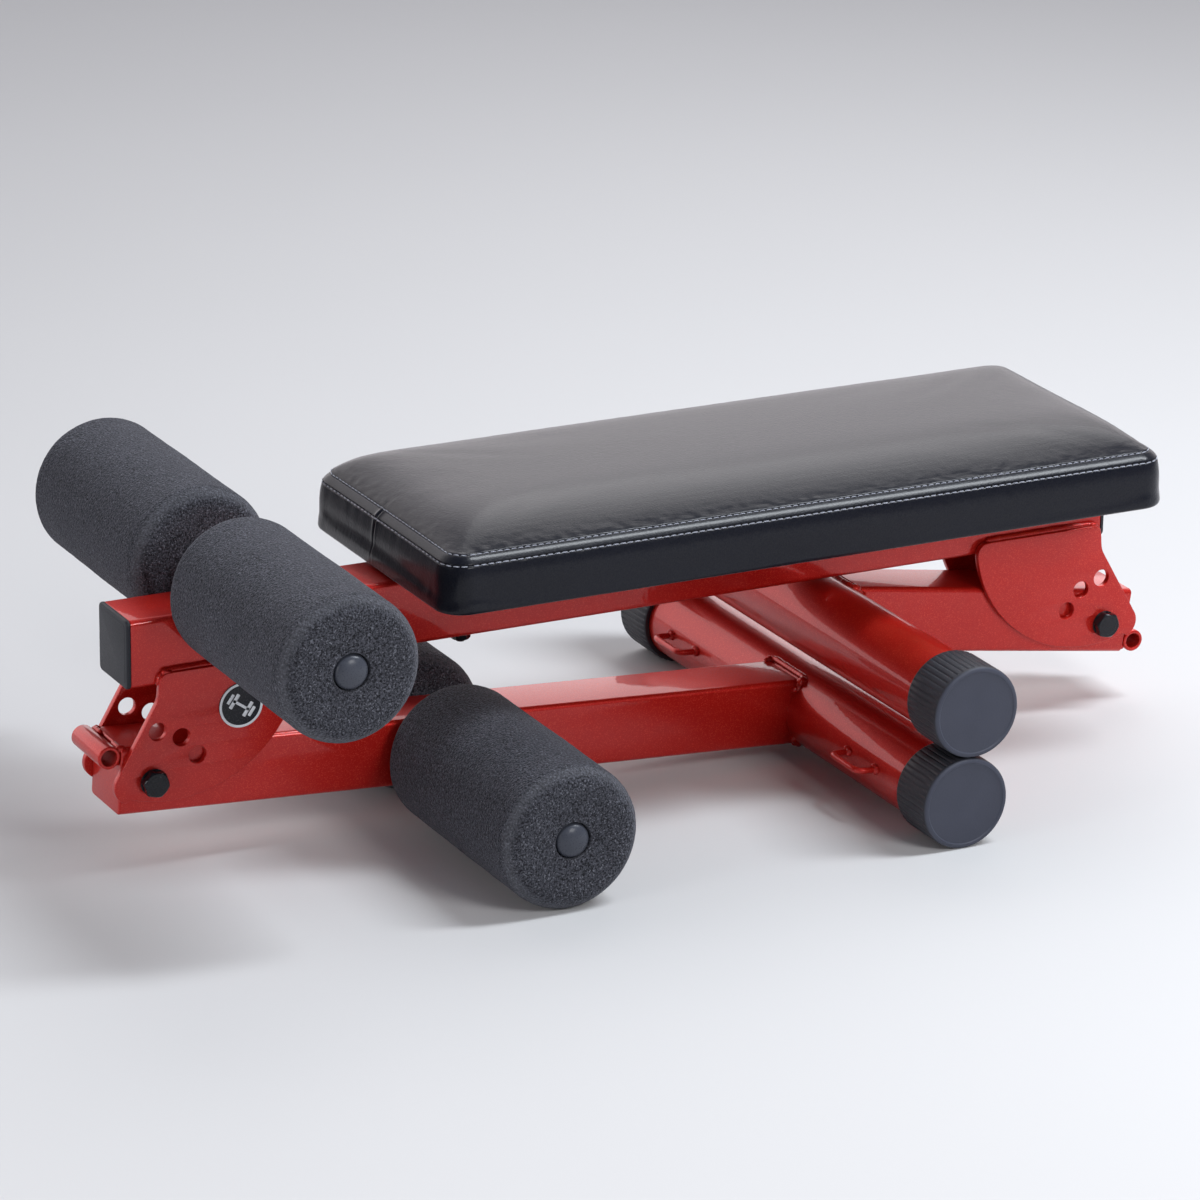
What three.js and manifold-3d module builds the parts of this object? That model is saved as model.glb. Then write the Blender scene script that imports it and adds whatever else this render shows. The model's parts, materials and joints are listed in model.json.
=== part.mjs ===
// Folding roman chair (decline ab bench), shown folded flat.
//
// Units are millimetres, +Z is up. X runs along the bench with the foam roller end at -X,
// Y runs across it, and Z = 0 is the floor. Left is the -Y side and right is the +Y side.
// The origin lies on the floor, midway between the two leg pivots.

import * as THREE from 'three';
import { mergeVertices } from 'three/addons/utils/BufferGeometryUtils.js';
import Module from 'manifold-3d';

const wasm = await Module();
wasm.setup();

// ---------------------------------------------------------------- driving dimensions

const GAP = 0.3; // left between pieces that touch
const SEGMENTS = 32; // sides of a large round section
const SMALL_SEGMENTS = 20; // sides of a bolt, a bore or a rod

const BOX = 50.8; // 2 inch square tube, used for the rail and both legs
const BOX_WALL = 2.5;
const BOX_CORNER = 4;
const HALF_BOX = BOX / 2;

const PIVOT_X = 394.5; // each pivot, either side of the middle
const PIVOT_Z = 68.75;
const PIVOT_TO_RAIL = 69.5; // pivot up to the underside of the rail
const RAIL_BOTTOM = PIVOT_Z + PIVOT_TO_RAIL;
const RAIL_TOP = RAIL_BOTTOM + BOX;
const RAIL_FRONT = -411.3; // outer face of the front end cap
const RAIL_REAR = 393.9; // outer face of the rear end cap
const END_CAP = 3; // flange thickness of a square end cap

const PLATE = 5; // bracket plate thickness
const PLATE_INNER = HALF_BOX + GAP; // |Y| of a plate's inner face
const PLATE_OUTER = PLATE_INNER + PLATE;
const LOCK_RADIUS = 37.4; // pivot to the lock holes and to the lock sleeve
const LOCK_HOLE_ANGLES = [24, 54, 84]; // degrees above the rail's direction
const LOCK_HOLE = 6.6; // hole radius
const SLEEVE_ANGLE = 34; // degrees, from the pivot to each lock sleeve
const SLEEVE_OUTER = 8.5;
const SLEEVE_BORE = 5.9;

const BOLT = 6; // M12 pivot bolt radius
const BOLT_BORE = 6.4;
const BOLT_HEAD = 10.4; // radius across the corners
const BOLT_HEAD_HEIGHT = 7.5;
const NUT_HEIGHT = 12;
const BUSHING_OUTER = 9.5;

const FOOT_TUBE = 30.15; // outer radius of the two cross tubes
const FOOT_TUBE_WALL = 3;
const FOOT_CAP = 34.5; // outer radius of a rubber foot cap
const FOOT_CAP_LENGTH = 42;
const FOOT_CAP_FACE = 4;
const FOOT_HALF_SPAN = 238; // |Y| of a foot cap's face

const FRONT_REACH = 546; // front pivot to its cross tube
const FRONT_TILT = Math.asin((PIVOT_Z - FOOT_CAP) / FRONT_REACH);
const REAR_REACH = 240.3; // rear pivot to its cross tube
const REAR_TILT = THREE.MathUtils.degToRad(8.8);
const REAR_TUBE_DROP = 2; // cross tube below the rear leg's centre line

const ROLLER = 54; // foam roller radius
const ROLLER_BORE = 13.6;
const ROLLER_EDGE = 13; // rounding of its ends
const ROLLER_INNER_END = 27; // |Y|
const ROLLER_OUTER_END = 226;
const AXLE = 12.7; // 1 inch tube
const AXLE_WALL = 2;
const AXLE_END = 219.4;
const HUB = 16; // sleeve that carries an axle
const HUB_BORE = 13;
const KNEE_AXLE_X = -329.4;
const KNEE_AXLE_Z = RAIL_TOP + GAP + HUB;
const ANKLE_AXLE_REACH = (PIVOT_Z - ROLLER) / Math.sin(FRONT_TILT);

const PAD_FRONT = -207.5;
const PAD_REAR = 393.5;
const PAD_WIDTH = 236;
const PAD_THICKNESS = 60; // at the crown
const PAD_CORNER = 22;
const PAD_EDGE = 5;
const BOARD_THICKNESS = 12;
const BOARD_INSET = 12;
const PAD_BOLT_INSET = 68.2; // pad end to the nearest pad bolt
const PAD_BOLT = 4;

const BADGE = 16.8; // radius
const BADGE_ALONG = 67.5; // front pivot to the badge's centre, along the bench
const BADGE_ABOVE = 47.5; // and upwards

const HOOK_Y = 139;
const HOOK_WIDTH = 40;
const HOOK_REACH = 15; // out from the side of the cross tube
const HOOK_ROD = 2.5;
const HOOK_CORNER = 7;

// ---------------------------------------------------------------- materials

function material(color, roughness, metalness) {
  return new THREE.MeshStandardMaterial({ color, roughness, metalness });
}

const redPaint = () => material(0xa82622, 0.3, 0.5);
const blackSteel = () => material(0x17181b, 0.35, 0.7);
const blackPlastic = () => material(0x30333c, 0.55, 0);
const rubber = () => material(0x3a3d46, 0.7, 0);
const foam = () => material(0x3c3c44, 0.95, 0);
const vinyl = () => material(0x1e2028, 0.45, 0);
const plywood = () => material(0xa98a5c, 0.8, 0);
const zincSteel = () => material(0x9a9da2, 0.4, 0.9);
const badgeMetal = () => material(0xc9ccd2, 0.35, 0.8);

// ---------------------------------------------------------------- solids

function toSolid(geometry) {
  const bare = geometry.clone();
  bare.deleteAttribute('normal');
  bare.deleteAttribute('uv');
  const merged = mergeVertices(bare, 1e-4);
  return new wasm.Manifold(new wasm.Mesh({
    numProp: 3,
    vertProperties: new Float32Array(merged.attributes.position.array),
    triVerts: new Uint32Array(merged.index.array),
  }));
}

function toGeometry(solid) {
  const mesh = solid.getMesh();
  const geometry = new THREE.BufferGeometry();
  geometry.setAttribute('position', new THREE.BufferAttribute(mesh.vertProperties, 3));
  geometry.setIndex(new THREE.BufferAttribute(mesh.triVerts, 1));
  geometry.computeVertexNormals();
  return geometry;
}

function cut(geometry, ...tools) {
  let solid = toSolid(geometry);
  for (const tool of tools) solid = solid.subtract(toSolid(tool));
  return toGeometry(solid);
}

function join(geometry, ...others) {
  let solid = toSolid(geometry);
  for (const other of others) solid = solid.add(toSolid(other));
  return toGeometry(solid);
}

// A solid of revolution about Y from [radius, y] pairs that start and end on the axis.
function turned(profile, segments = SEGMENTS) {
  return new THREE.LatheGeometry(profile.map(([r, y]) => new THREE.Vector2(r, y)), segments);
}

function rod(radius, y0, y1, segments = SMALL_SEGMENTS) {
  return turned([[0, y0], [radius, y0], [radius, y1], [0, y1]], segments);
}

function pipe(outer, inner, y0, y1, segments = SEGMENTS) {
  return turned([[inner, y0], [outer, y0], [outer, y1], [inner, y1], [inner, y0]], segments);
}

function roundedRectangle(width, height, radius) {
  const shape = new THREE.Shape();
  const x = width / 2 - radius;
  const y = height / 2 - radius;
  shape.absarc(x, y, radius, 0, Math.PI / 2);
  shape.absarc(-x, y, radius, Math.PI / 2, Math.PI);
  shape.absarc(-x, -y, radius, Math.PI, 1.5 * Math.PI);
  shape.absarc(x, -y, radius, 1.5 * Math.PI, 2 * Math.PI);
  return shape;
}

// Extrudes a shape drawn in Y and Z along X, from x0 to x1.
function alongX(shape, x0, x1, curveSegments = 3) {
  const geometry = new THREE.ExtrudeGeometry(shape, {
    depth: x1 - x0,
    bevelEnabled: false,
    curveSegments,
  });
  const turn = new THREE.Matrix4().makeBasis(
    new THREE.Vector3(0, 1, 0),
    new THREE.Vector3(0, 0, 1),
    new THREE.Vector3(1, 0, 0),
  );
  return geometry.applyMatrix4(turn).translate(x0, 0, 0);
}

// Extrudes a shape drawn in X and Z across Y, from y0 to y1.
function acrossY(shape, y0, y1, curveSegments = 12) {
  const geometry = new THREE.ExtrudeGeometry(shape, {
    depth: y1 - y0,
    bevelEnabled: false,
    curveSegments,
  });
  return geometry.rotateX(Math.PI / 2).translate(0, y1, 0);
}

function squareTube(x0, x1) {
  const shape = roundedRectangle(BOX, BOX, BOX_CORNER);
  const inside = BOX - 2 * BOX_WALL;
  shape.holes.push(roundedRectangle(inside, inside, BOX_CORNER - BOX_WALL));
  return alongX(shape, x0, x1);
}

function hexagon(radius) {
  const shape = new THREE.Shape();
  for (let i = 0; i < 6; i += 1) {
    const angle = (i * Math.PI) / 3;
    const x = radius * Math.cos(angle);
    const y = radius * Math.sin(angle);
    if (i === 0) shape.moveTo(x, y);
    else shape.lineTo(x, y);
  }
  shape.closePath();
  return shape;
}

function lockPoint(degrees) {
  const angle = THREE.MathUtils.degToRad(degrees);
  return [LOCK_RADIUS * Math.cos(angle), LOCK_RADIUS * Math.sin(angle)];
}

// ---------------------------------------------------------------- assembly helpers

const chair = new THREE.Group();

function add(parent, name, geometry, finish, x = 0, y = 0, z = 0) {
  const mesh = new THREE.Mesh(geometry, finish);
  mesh.name = name;
  mesh.position.set(x, y, z);
  parent.add(mesh);
  return mesh;
}

// Adds one piece to each side: make(-1) for the left and make(1) for the right.
function addPair(parent, name, make, finish, x = 0, y = 0, z = 0) {
  return [
    add(parent, `${name}_left`, make(-1), finish(), x, y, z),
    add(parent, `${name}_right`, make(1), finish(), x, y, z),
  ];
}

// Turns round pieces back by their group's tilt, so that a vertex faces straight down
// and they touch the floor at their true radius.
function keepLevel(pieces) {
  for (const piece of pieces) piece.rotation.y = -piece.parent.rotation.y;
}

// ---------------------------------------------------------------- main rail

function mainRail() {
  const tube = squareTube(RAIL_FRONT + END_CAP + GAP, RAIL_REAR - END_CAP - GAP);
  const holes = padBoltPlaces().map((x) => (
    rod(PAD_BOLT + 0.5, -BOX, BOX).rotateX(Math.PI / 2).translate(x, 0, 0)
  ));
  return cut(tube, ...holes);
}

// A plastic cap whose plug sits inside the tube. It closes the +X end at x = 0.
function squareEndCap() {
  const plugSize = BOX - 2 * BOX_WALL - 2 * GAP;
  const plugDepth = 20;
  const flange = alongX(roundedRectangle(BOX, BOX, BOX_CORNER), -END_CAP, 0);
  const plug = alongX(roundedRectangle(plugSize, plugSize, 1.2), -END_CAP - plugDepth, -END_CAP / 2);
  return join(flange, plug);
}

function buildRail() {
  const middle = (RAIL_BOTTOM + RAIL_TOP) / 2;
  add(chair, 'main_rail', mainRail(), redPaint(), 0, 0, middle);
  add(chair, 'rail_end_cap_rear', squareEndCap(), blackPlastic(), RAIL_REAR, 0, middle);
  const front = add(chair, 'rail_end_cap_front', squareEndCap(), blackPlastic(), RAIL_FRONT, 0, middle);
  front.rotation.z = Math.PI;
}

// ---------------------------------------------------------------- brackets

// The outline of a bracket plate about its pivot, with the rail above it and the leg's
// tube running off to +X. It has a lobe round the pivot and one long arc underneath.
function plateOutline() {
  const top = 80;
  const arcCentreX = 15;
  const arcCentreZ = 85;
  const arcRadius = 101.3;
  const lobeX = -17;
  const lobeZ = -1.5;
  const lobeRadius = 12.5;
  const lobeMeetsArc = Math.atan2(lobeZ - arcCentreZ, lobeX - arcCentreX);
  const lobeMeetsEdge = THREE.MathUtils.degToRad(149);
  const arcMeetsTop = THREE.MathUtils.degToRad(-11);

  const shape = new THREE.Shape();
  shape.moveTo(14, top);
  shape.quadraticCurveTo(6, top, 5.5, 71);
  shape.lineTo(5, 65);
  shape.quadraticCurveTo(4.8, 60.5, 2.4, 56.6);
  shape.absarc(lobeX, lobeZ, lobeRadius, lobeMeetsEdge, 2 * Math.PI + lobeMeetsArc, false);
  shape.absarc(arcCentreX, arcCentreZ, arcRadius, lobeMeetsArc, arcMeetsTop, false);
  shape.quadraticCurveTo(117, top, 104, top);
  shape.closePath();
  return shape;
}

function bracketPlate(side) {
  const y0 = side < 0 ? -PLATE_OUTER : PLATE_INNER;
  const y1 = y0 + PLATE;
  const lockHoles = LOCK_HOLE_ANGLES.map((degrees) => {
    const [x, z] = lockPoint(degrees);
    return rod(LOCK_HOLE, y0 - 1, y1 + 1).translate(x, 0, z);
  });
  return cut(acrossY(plateOutline(), y0, y1, 10), rod(BOLT_BORE, y0 - 1, y1 + 1), ...lockHoles);
}

// M12 hex bolt across the bracket, head on the left, and its locking nut on the right.
function pivotBolt() {
  const head = acrossY(hexagon(BOLT_HEAD), -PLATE_OUTER - GAP - BOLT_HEAD_HEIGHT, -PLATE_OUTER - GAP);
  return join(head, rod(BOLT, -PLATE_OUTER - 1, PLATE_OUTER + NUT_HEIGHT + 3));
}

function pivotNut() {
  const y0 = PLATE_OUTER + GAP;
  const body = acrossY(hexagon(BOLT_HEAD), y0, y0 + NUT_HEIGHT);
  return cut(body, rod(BOLT + GAP, y0 - 1, y0 + NUT_HEIGHT + 1));
}

function buildBracket(end, x) {
  const bracket = new THREE.Group();
  bracket.position.set(x, 0, PIVOT_Z);
  // The rear bracket is the front one turned end for end, so its sides change places.
  if (x > 0) bracket.rotation.z = Math.PI;
  chair.add(bracket);
  const turn = x > 0 ? -1 : 1;
  addPair(bracket, `${end}_bracket`, (side) => bracketPlate(side * turn), redPaint);
  const bolt = add(chair, `${end}_pivot_bolt`, pivotBolt(), blackSteel(), x, 0, PIVOT_Z);
  const nut = add(chair, `${end}_pivot_nut`, pivotNut(), blackSteel(), x, 0, PIVOT_Z);
  bolt.rotation.y = Math.PI / 12;
  nut.rotation.y = Math.PI / 12;
}

// A thin round badge on the outside of the left front plate.
function badge() {
  const face = -PLATE_OUTER - GAP;
  return rod(BADGE, face - 0.8, face, SEGMENTS);
}

// ---------------------------------------------------------------- legs

// A cross tube with a foot cap over each end. The parent group is centred on the tube.
function footTube() {
  const end = FOOT_HALF_SPAN - FOOT_CAP_FACE - GAP;
  return pipe(FOOT_TUBE, FOOT_TUBE - FOOT_TUBE_WALL, -end, end);
}

function footCap(side) {
  const lip = FOOT_HALF_SPAN - FOOT_CAP_LENGTH;
  const floor = FOOT_HALF_SPAN - FOOT_CAP_FACE;
  const inside = FOOT_TUBE + GAP;
  const cap = turned([
    [inside, lip],
    [FOOT_CAP, lip],
    [FOOT_CAP, FOOT_HALF_SPAN],
    [0, FOOT_HALF_SPAN],
    [0, floor],
    [inside, floor],
    [inside, lip],
  ]);
  return side < 0 ? cap.rotateX(Math.PI) : cap;
}

function buildFoot(parent, end, x, z) {
  add(parent, `${end}_foot_tube`, footTube(), redPaint(), x, 0, z);
  keepLevel(addPair(parent, `${end}_foot_cap`, footCap, rubber, x, 0, z));
}

// The square tube of a leg, from its pivot end to where it is coped round the cross tube.
// direction is the sign of X from the pivot to the cross tube.
function legTube(direction, pivotEnd, reach, drop, hubs) {
  const ends = [-direction * pivotEnd, direction * reach];
  const tube = squareTube(Math.min(...ends), Math.max(...ends));
  const saddle = rod(FOOT_TUBE + 2 * GAP, -BOX, BOX, SEGMENTS).translate(direction * reach, 0, -drop);
  const pivotHole = rod(BUSHING_OUTER + GAP, -BOX, BOX);
  const hubHoles = hubs.map((x) => rod(HUB + GAP, -BOX, BOX, SEGMENTS).translate(x, 0, 0));
  return cut(tube, saddle, pivotHole, ...hubHoles);
}

// Closes the pivot end of a leg.
function legEndPlate(x0, x1) {
  return alongX(roundedRectangle(BOX, BOX, BOX_CORNER), x0, x1);
}

// Builds a leg's tube, end plate, bushing, lock sleeve and foot in a group at its pivot.
function buildLeg(leg) {
  const { end, direction, tilt, sleeveAngle, reach, drop, hubs } = leg;
  const group = new THREE.Group();
  group.position.set(-direction * PIVOT_X, 0, PIVOT_Z);
  group.rotation.y = tilt;
  chair.add(group);

  const plateThickness = 3;
  const angle = THREE.MathUtils.degToRad(sleeveAngle) + tilt;
  const sleeveX = LOCK_RADIUS * Math.cos(angle);
  const sleeveZ = LOCK_RADIUS * Math.sin(angle);
  const endFace = Math.abs(sleeveX) - SLEEVE_OUTER - GAP;
  const plateX = direction > 0 ? -endFace : endFace - plateThickness;

  const tube = legTube(direction, endFace - plateThickness - GAP, reach, drop, hubs);
  add(group, `${end}_leg`, tube, redPaint());
  add(group, `${end}_leg_end_plate`, legEndPlate(plateX, plateX + plateThickness), redPaint());
  add(group, `${end}_pivot_bushing`,
    pipe(BUSHING_OUTER, BOLT_BORE, -HALF_BOX, HALF_BOX, SMALL_SEGMENTS), zincSteel());
  add(group, `${end}_lock_sleeve`,
    pipe(SLEEVE_OUTER, SLEEVE_BORE, -HALF_BOX, HALF_BOX, SMALL_SEGMENTS), redPaint(),
    sleeveX, 0, sleeveZ);
  buildFoot(group, end, direction * reach, -drop);
  return group;
}

// A bent rod loop on the pivot side of the front cross tube, for a resistance band.
// It is centred on the tube's axis and reaches out to -X.
function bandHook() {
  const half = HOOK_WIDTH / 2;
  const root = -FOOT_TUBE - GAP;
  const tip = root - HOOK_REACH;
  const bend = tip + HOOK_CORNER;
  const at = (x, y) => new THREE.Vector3(x, y, 0);
  const path = new THREE.CurvePath();
  path.add(new THREE.LineCurve3(at(root, -half), at(bend, -half)));
  path.add(new THREE.QuadraticBezierCurve3(at(bend, -half), at(tip, -half), at(tip, HOOK_CORNER - half)));
  path.add(new THREE.LineCurve3(at(tip, HOOK_CORNER - half), at(tip, half - HOOK_CORNER)));
  path.add(new THREE.QuadraticBezierCurve3(at(tip, half - HOOK_CORNER), at(tip, half), at(bend, half)));
  path.add(new THREE.LineCurve3(at(bend, half), at(root, half)));
  const section = new THREE.Shape();
  section.absarc(0, 0, HOOK_ROD, 0, 2 * Math.PI);
  return new THREE.ExtrudeGeometry(section, { steps: 20, extrudePath: path, curveSegments: 4 });
}

function buildBandHooks(parent) {
  const riseAboveCentre = 2;
  addPair(parent, 'band_hook', (side) => bandHook().translate(0, side * HOOK_Y, 0), redPaint,
    FRONT_REACH, 0, riseAboveCentre);
}

// ---------------------------------------------------------------- rollers

function foamRoller(side) {
  const arc = [];
  const steps = 3;
  for (let i = 0; i <= steps; i += 1) {
    const angle = (i / steps) * (Math.PI / 2);
    arc.push([Math.cos(angle) * ROLLER_EDGE, Math.sin(angle) * ROLLER_EDGE]);
  }
  const core = ROLLER - ROLLER_EDGE;
  const near = arc.map(([a, b]) => [core + b, ROLLER_INNER_END + ROLLER_EDGE - a]);
  const far = arc.map(([a, b]) => [core + a, ROLLER_OUTER_END - ROLLER_EDGE + b]);
  const profile = [
    [ROLLER_BORE, ROLLER_INNER_END],
    ...near,
    ...far,
    [ROLLER_BORE, ROLLER_OUTER_END],
    [ROLLER_BORE, ROLLER_INNER_END],
  ];
  const roller = turned(profile);
  return side < 0 ? roller.rotateX(Math.PI) : roller;
}

// A domed plastic plug pressed into the end of an axle tube.
function axlePlug(side) {
  const stem = AXLE - AXLE_WALL - GAP;
  const face = AXLE_END + GAP;
  const dome = 5;
  const profile = [[0, face - 15], [stem, face - 15], [stem, face], [AXLE, face], [AXLE, face + 1.6]];
  const steps = 3;
  for (let i = 1; i < steps; i += 1) {
    const angle = (i / steps) * (Math.PI / 2);
    profile.push([AXLE * Math.cos(angle), face + 1.6 + dome * Math.sin(angle)]);
  }
  profile.push([0, face + 1.6 + dome]);
  const plug = turned(profile, SMALL_SEGMENTS);
  return side < 0 ? plug.rotateX(Math.PI) : plug;
}

// An axle tube in its hub, with two plugs and two foam rollers.
function buildRollers(parent, name, x, z) {
  add(parent, `${name}_axle_hub`, pipe(HUB, HUB_BORE, -HALF_BOX, HALF_BOX), redPaint(), x, 0, z);
  add(parent, `${name}_axle`,
    pipe(AXLE, AXLE - AXLE_WALL, -AXLE_END, AXLE_END, SMALL_SEGMENTS), zincSteel(), x, 0, z);
  addPair(parent, `${name}_axle_plug`, axlePlug, blackPlastic, x, 0, z);
  keepLevel(addPair(parent, `${name}_roller`, foamRoller, foam, x, 0, z));
}

// ---------------------------------------------------------------- pad

function padBoltPlaces() {
  return [PAD_FRONT + PAD_BOLT_INSET, PAD_REAR - PAD_BOLT_INSET];
}

function slab(length, width, radius, z0, z1, edge = 0) {
  const geometry = new THREE.ExtrudeGeometry(
    roundedRectangle(length - 2 * edge, width - 2 * edge, radius - edge),
    {
      depth: z1 - z0 - 2 * edge,
      bevelEnabled: edge > 0,
      bevelThickness: edge,
      bevelSize: edge,
      bevelSegments: 2,
      curveSegments: 4,
    },
  );
  return geometry.translate(0, 0, z0 + edge);
}

function buildPad() {
  const length = PAD_REAR - PAD_FRONT;
  const middle = (PAD_FRONT + PAD_REAR) / 2;
  const boardLength = length - 2 * BOARD_INSET;
  const boardWidth = PAD_WIDTH - 2 * BOARD_INSET;
  const headRadius = 10;
  const headHeight = 2;
  const bottom = RAIL_TOP + GAP;
  const places = padBoltPlaces().map((x) => x - middle);

  const pocket = slab(boardLength + 2 * GAP, boardWidth + 2 * GAP, 12 + GAP, -1, BOARD_THICKNESS + GAP);
  const cushion = cut(slab(length, PAD_WIDTH, PAD_CORNER, 0, PAD_THICKNESS, PAD_EDGE), pocket);
  add(chair, 'pad', cushion, vinyl(), middle, 0, bottom);

  const upright = (geometry, x, z) => geometry.rotateX(Math.PI / 2).translate(x, 0, z);
  const boltHoles = places.flatMap((x) => [
    upright(rod(PAD_BOLT + 0.5, -1, BOARD_THICKNESS + 1), x, 0),
    upright(rod(headRadius + GAP, BOARD_THICKNESS - headHeight - GAP, BOARD_THICKNESS + 1), x, 0),
  ]);
  const board = cut(slab(boardLength, boardWidth, 12, 0, BOARD_THICKNESS), ...boltHoles);
  add(chair, 'pad_board', board, plywood(), middle, 0, bottom);

  const headTop = bottom + BOARD_THICKNESS;
  const tip = RAIL_BOTTOM - 12;
  padBoltPlaces().forEach((x, index) => {
    const end = index === 0 ? 'front' : 'rear';
    const head = rod(headRadius, headTop - headHeight, headTop);
    const bolt = join(head, rod(PAD_BOLT, tip, headTop - headHeight / 2));
    add(chair, `pad_bolt_${end}`, upright(bolt, x, 0), blackSteel());
    const washer = pipe(8, PAD_BOLT + GAP, RAIL_BOTTOM - GAP - 1.6, RAIL_BOTTOM - GAP, SMALL_SEGMENTS);
    add(chair, `pad_washer_${end}`, upright(washer, x, 0), blackSteel());
    const nutTop = RAIL_BOTTOM - 2 * GAP - 1.6;
    const nut = cut(acrossY(hexagon(7.5), nutTop - 8, nutTop), rod(PAD_BOLT + GAP, nutTop - 9, nutTop + 1));
    add(chair, `pad_nut_${end}`, upright(nut, x, 0), blackSteel());
  });
}

// ---------------------------------------------------------------- assembly

buildRail();
buildBracket('front', -PIVOT_X);
buildBracket('rear', PIVOT_X);
add(chair, 'bracket_badge', badge(), badgeMetal(), BADGE_ALONG - PIVOT_X, 0, PIVOT_Z + BADGE_ABOVE);

const frontLeg = buildLeg({
  end: 'front',
  direction: 1,
  tilt: FRONT_TILT,
  sleeveAngle: 180 - SLEEVE_ANGLE,
  reach: FRONT_REACH,
  drop: 0,
  hubs: [ANKLE_AXLE_REACH],
});
buildLeg({
  end: 'rear',
  direction: -1,
  tilt: REAR_TILT,
  sleeveAngle: -SLEEVE_ANGLE,
  reach: REAR_REACH,
  drop: REAR_TUBE_DROP,
  hubs: [],
});
buildBandHooks(frontLeg);
buildRollers(chair, 'knee', KNEE_AXLE_X, KNEE_AXLE_Z);
buildRollers(frontLeg, 'ankle', ANKLE_AXLE_REACH, 0);
buildPad();

export default chair;
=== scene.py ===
"""Looks of the folding roman chair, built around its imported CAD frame.

Lengths inside the helpers are millimetres in the CAD frame; every mesh is scaled to
metres when it becomes a piece.
"""

import json
import random
from math import atan, atan2, copysign, cos, degrees, exp, hypot, pi, radians, sin, sqrt, tan

import bmesh
import bpy
from mathutils import Matrix, Vector, noise
from mathutils.kdtree import KDTree


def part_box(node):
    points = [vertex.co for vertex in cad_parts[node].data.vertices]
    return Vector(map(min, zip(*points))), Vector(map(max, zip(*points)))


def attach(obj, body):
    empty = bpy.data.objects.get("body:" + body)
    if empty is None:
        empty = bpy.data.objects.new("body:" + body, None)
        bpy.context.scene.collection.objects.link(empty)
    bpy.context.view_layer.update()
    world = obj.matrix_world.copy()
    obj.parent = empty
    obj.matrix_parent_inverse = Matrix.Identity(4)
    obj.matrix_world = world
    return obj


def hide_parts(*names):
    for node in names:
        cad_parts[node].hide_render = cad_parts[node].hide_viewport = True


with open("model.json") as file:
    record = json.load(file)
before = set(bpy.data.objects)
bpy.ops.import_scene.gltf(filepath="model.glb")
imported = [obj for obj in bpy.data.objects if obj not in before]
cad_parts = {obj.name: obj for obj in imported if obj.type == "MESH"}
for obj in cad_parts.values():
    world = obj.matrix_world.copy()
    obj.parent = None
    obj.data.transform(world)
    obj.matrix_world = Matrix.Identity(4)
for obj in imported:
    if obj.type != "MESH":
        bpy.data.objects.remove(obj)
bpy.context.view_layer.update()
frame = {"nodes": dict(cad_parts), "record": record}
random.seed(7)

MM = 0.001
PIVOT = {
    joint["name"].removesuffix("_leg_fold"): Vector(joint["pos_m"]) / MM
    for joint in frame["record"]["behaviour"]["joints"]
}

# ---------------------------------------------------------------- dimensions of the part

BOX = 50.8
HALF_BOX = BOX / 2
BOX_CORNER = 4.0
PLATE_INNER = 25.7
PLATE = 5.0
PLATE_OUTER = PLATE_INNER + PLATE
PLATE_TOP = 80.0  # above the pivot, where the plate is welded to the rail
LOCK_RADIUS = 37.4
LOCK_HOLE_ANGLES = (24, 54, 84)
LOCK_HOLE = 6.6
SLEEVE_ANGLE = 34
SLEEVE = 8.5
SLEEVE_BORE = 5.9
BOLT = 6.0
BOLT_HEAD = 10.4
BOLT_HEAD_HEIGHT = 7.5
NUT_HEIGHT = 12.0
BOLT_PAST_NUT = 2.6
FOOT_TUBE = 30.15
FOOT_CAP = 34.5
FOOT_REACH = {"front": 546.0, "rear": -240.3}
FOOT_DROP = {"front": 0.0, "rear": 2.0}
ROLLER = 54.0
ROLLER_BORE = 13.6
AXLE = 12.7
HUB = 16.0
HUB_BORE = 13.0
HOOK_Y = 139.0
HOOK_WIDTH = 40.0
HOOK_REACH = 15.0
HOOK_ROD = 2.5
HOOK_CORNER = 7.0


def box_mm(node):
    low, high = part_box(node)
    return low / MM, high / MM


def middle(node):
    low, high = box_mm(node)
    return (low + high) / 2


def add_object(name, data):
    made = bpy.data.objects.new(name, data)
    bpy.context.scene.collection.objects.link(made)
    return made


# ---------------------------------------------------------------- camera

FRAME_WIDTH = 1200
FOCAL_PIXELS = 5636
SENSOR = 36.0
EYE = Vector((-1826.55, -3467.44, 1519.27)) * MM
LOOK = Vector((0.4347, 0.8368, -0.3328)).normalized()
ROLL = radians(0.83)


def build_camera():
    level = LOOK.cross(Vector((0, 0, 1))).normalized()
    upright = level.cross(LOOK)
    right = level * cos(ROLL) + upright * sin(ROLL)
    up = upright * cos(ROLL) - level * sin(ROLL)
    data = bpy.data.cameras.new("camera")
    data.sensor_width = SENSOR
    data.lens = FOCAL_PIXELS / FRAME_WIDTH * SENSOR
    data.clip_start, data.clip_end = 0.1, 100
    camera = add_object("camera", data)
    turn = Matrix((right, up, -LOOK)).transposed().to_4x4()
    camera.matrix_world = Matrix.Translation(EYE) @ turn
    bpy.context.scene.camera = camera


build_camera()

# ---------------------------------------------------------------- materials


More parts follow.
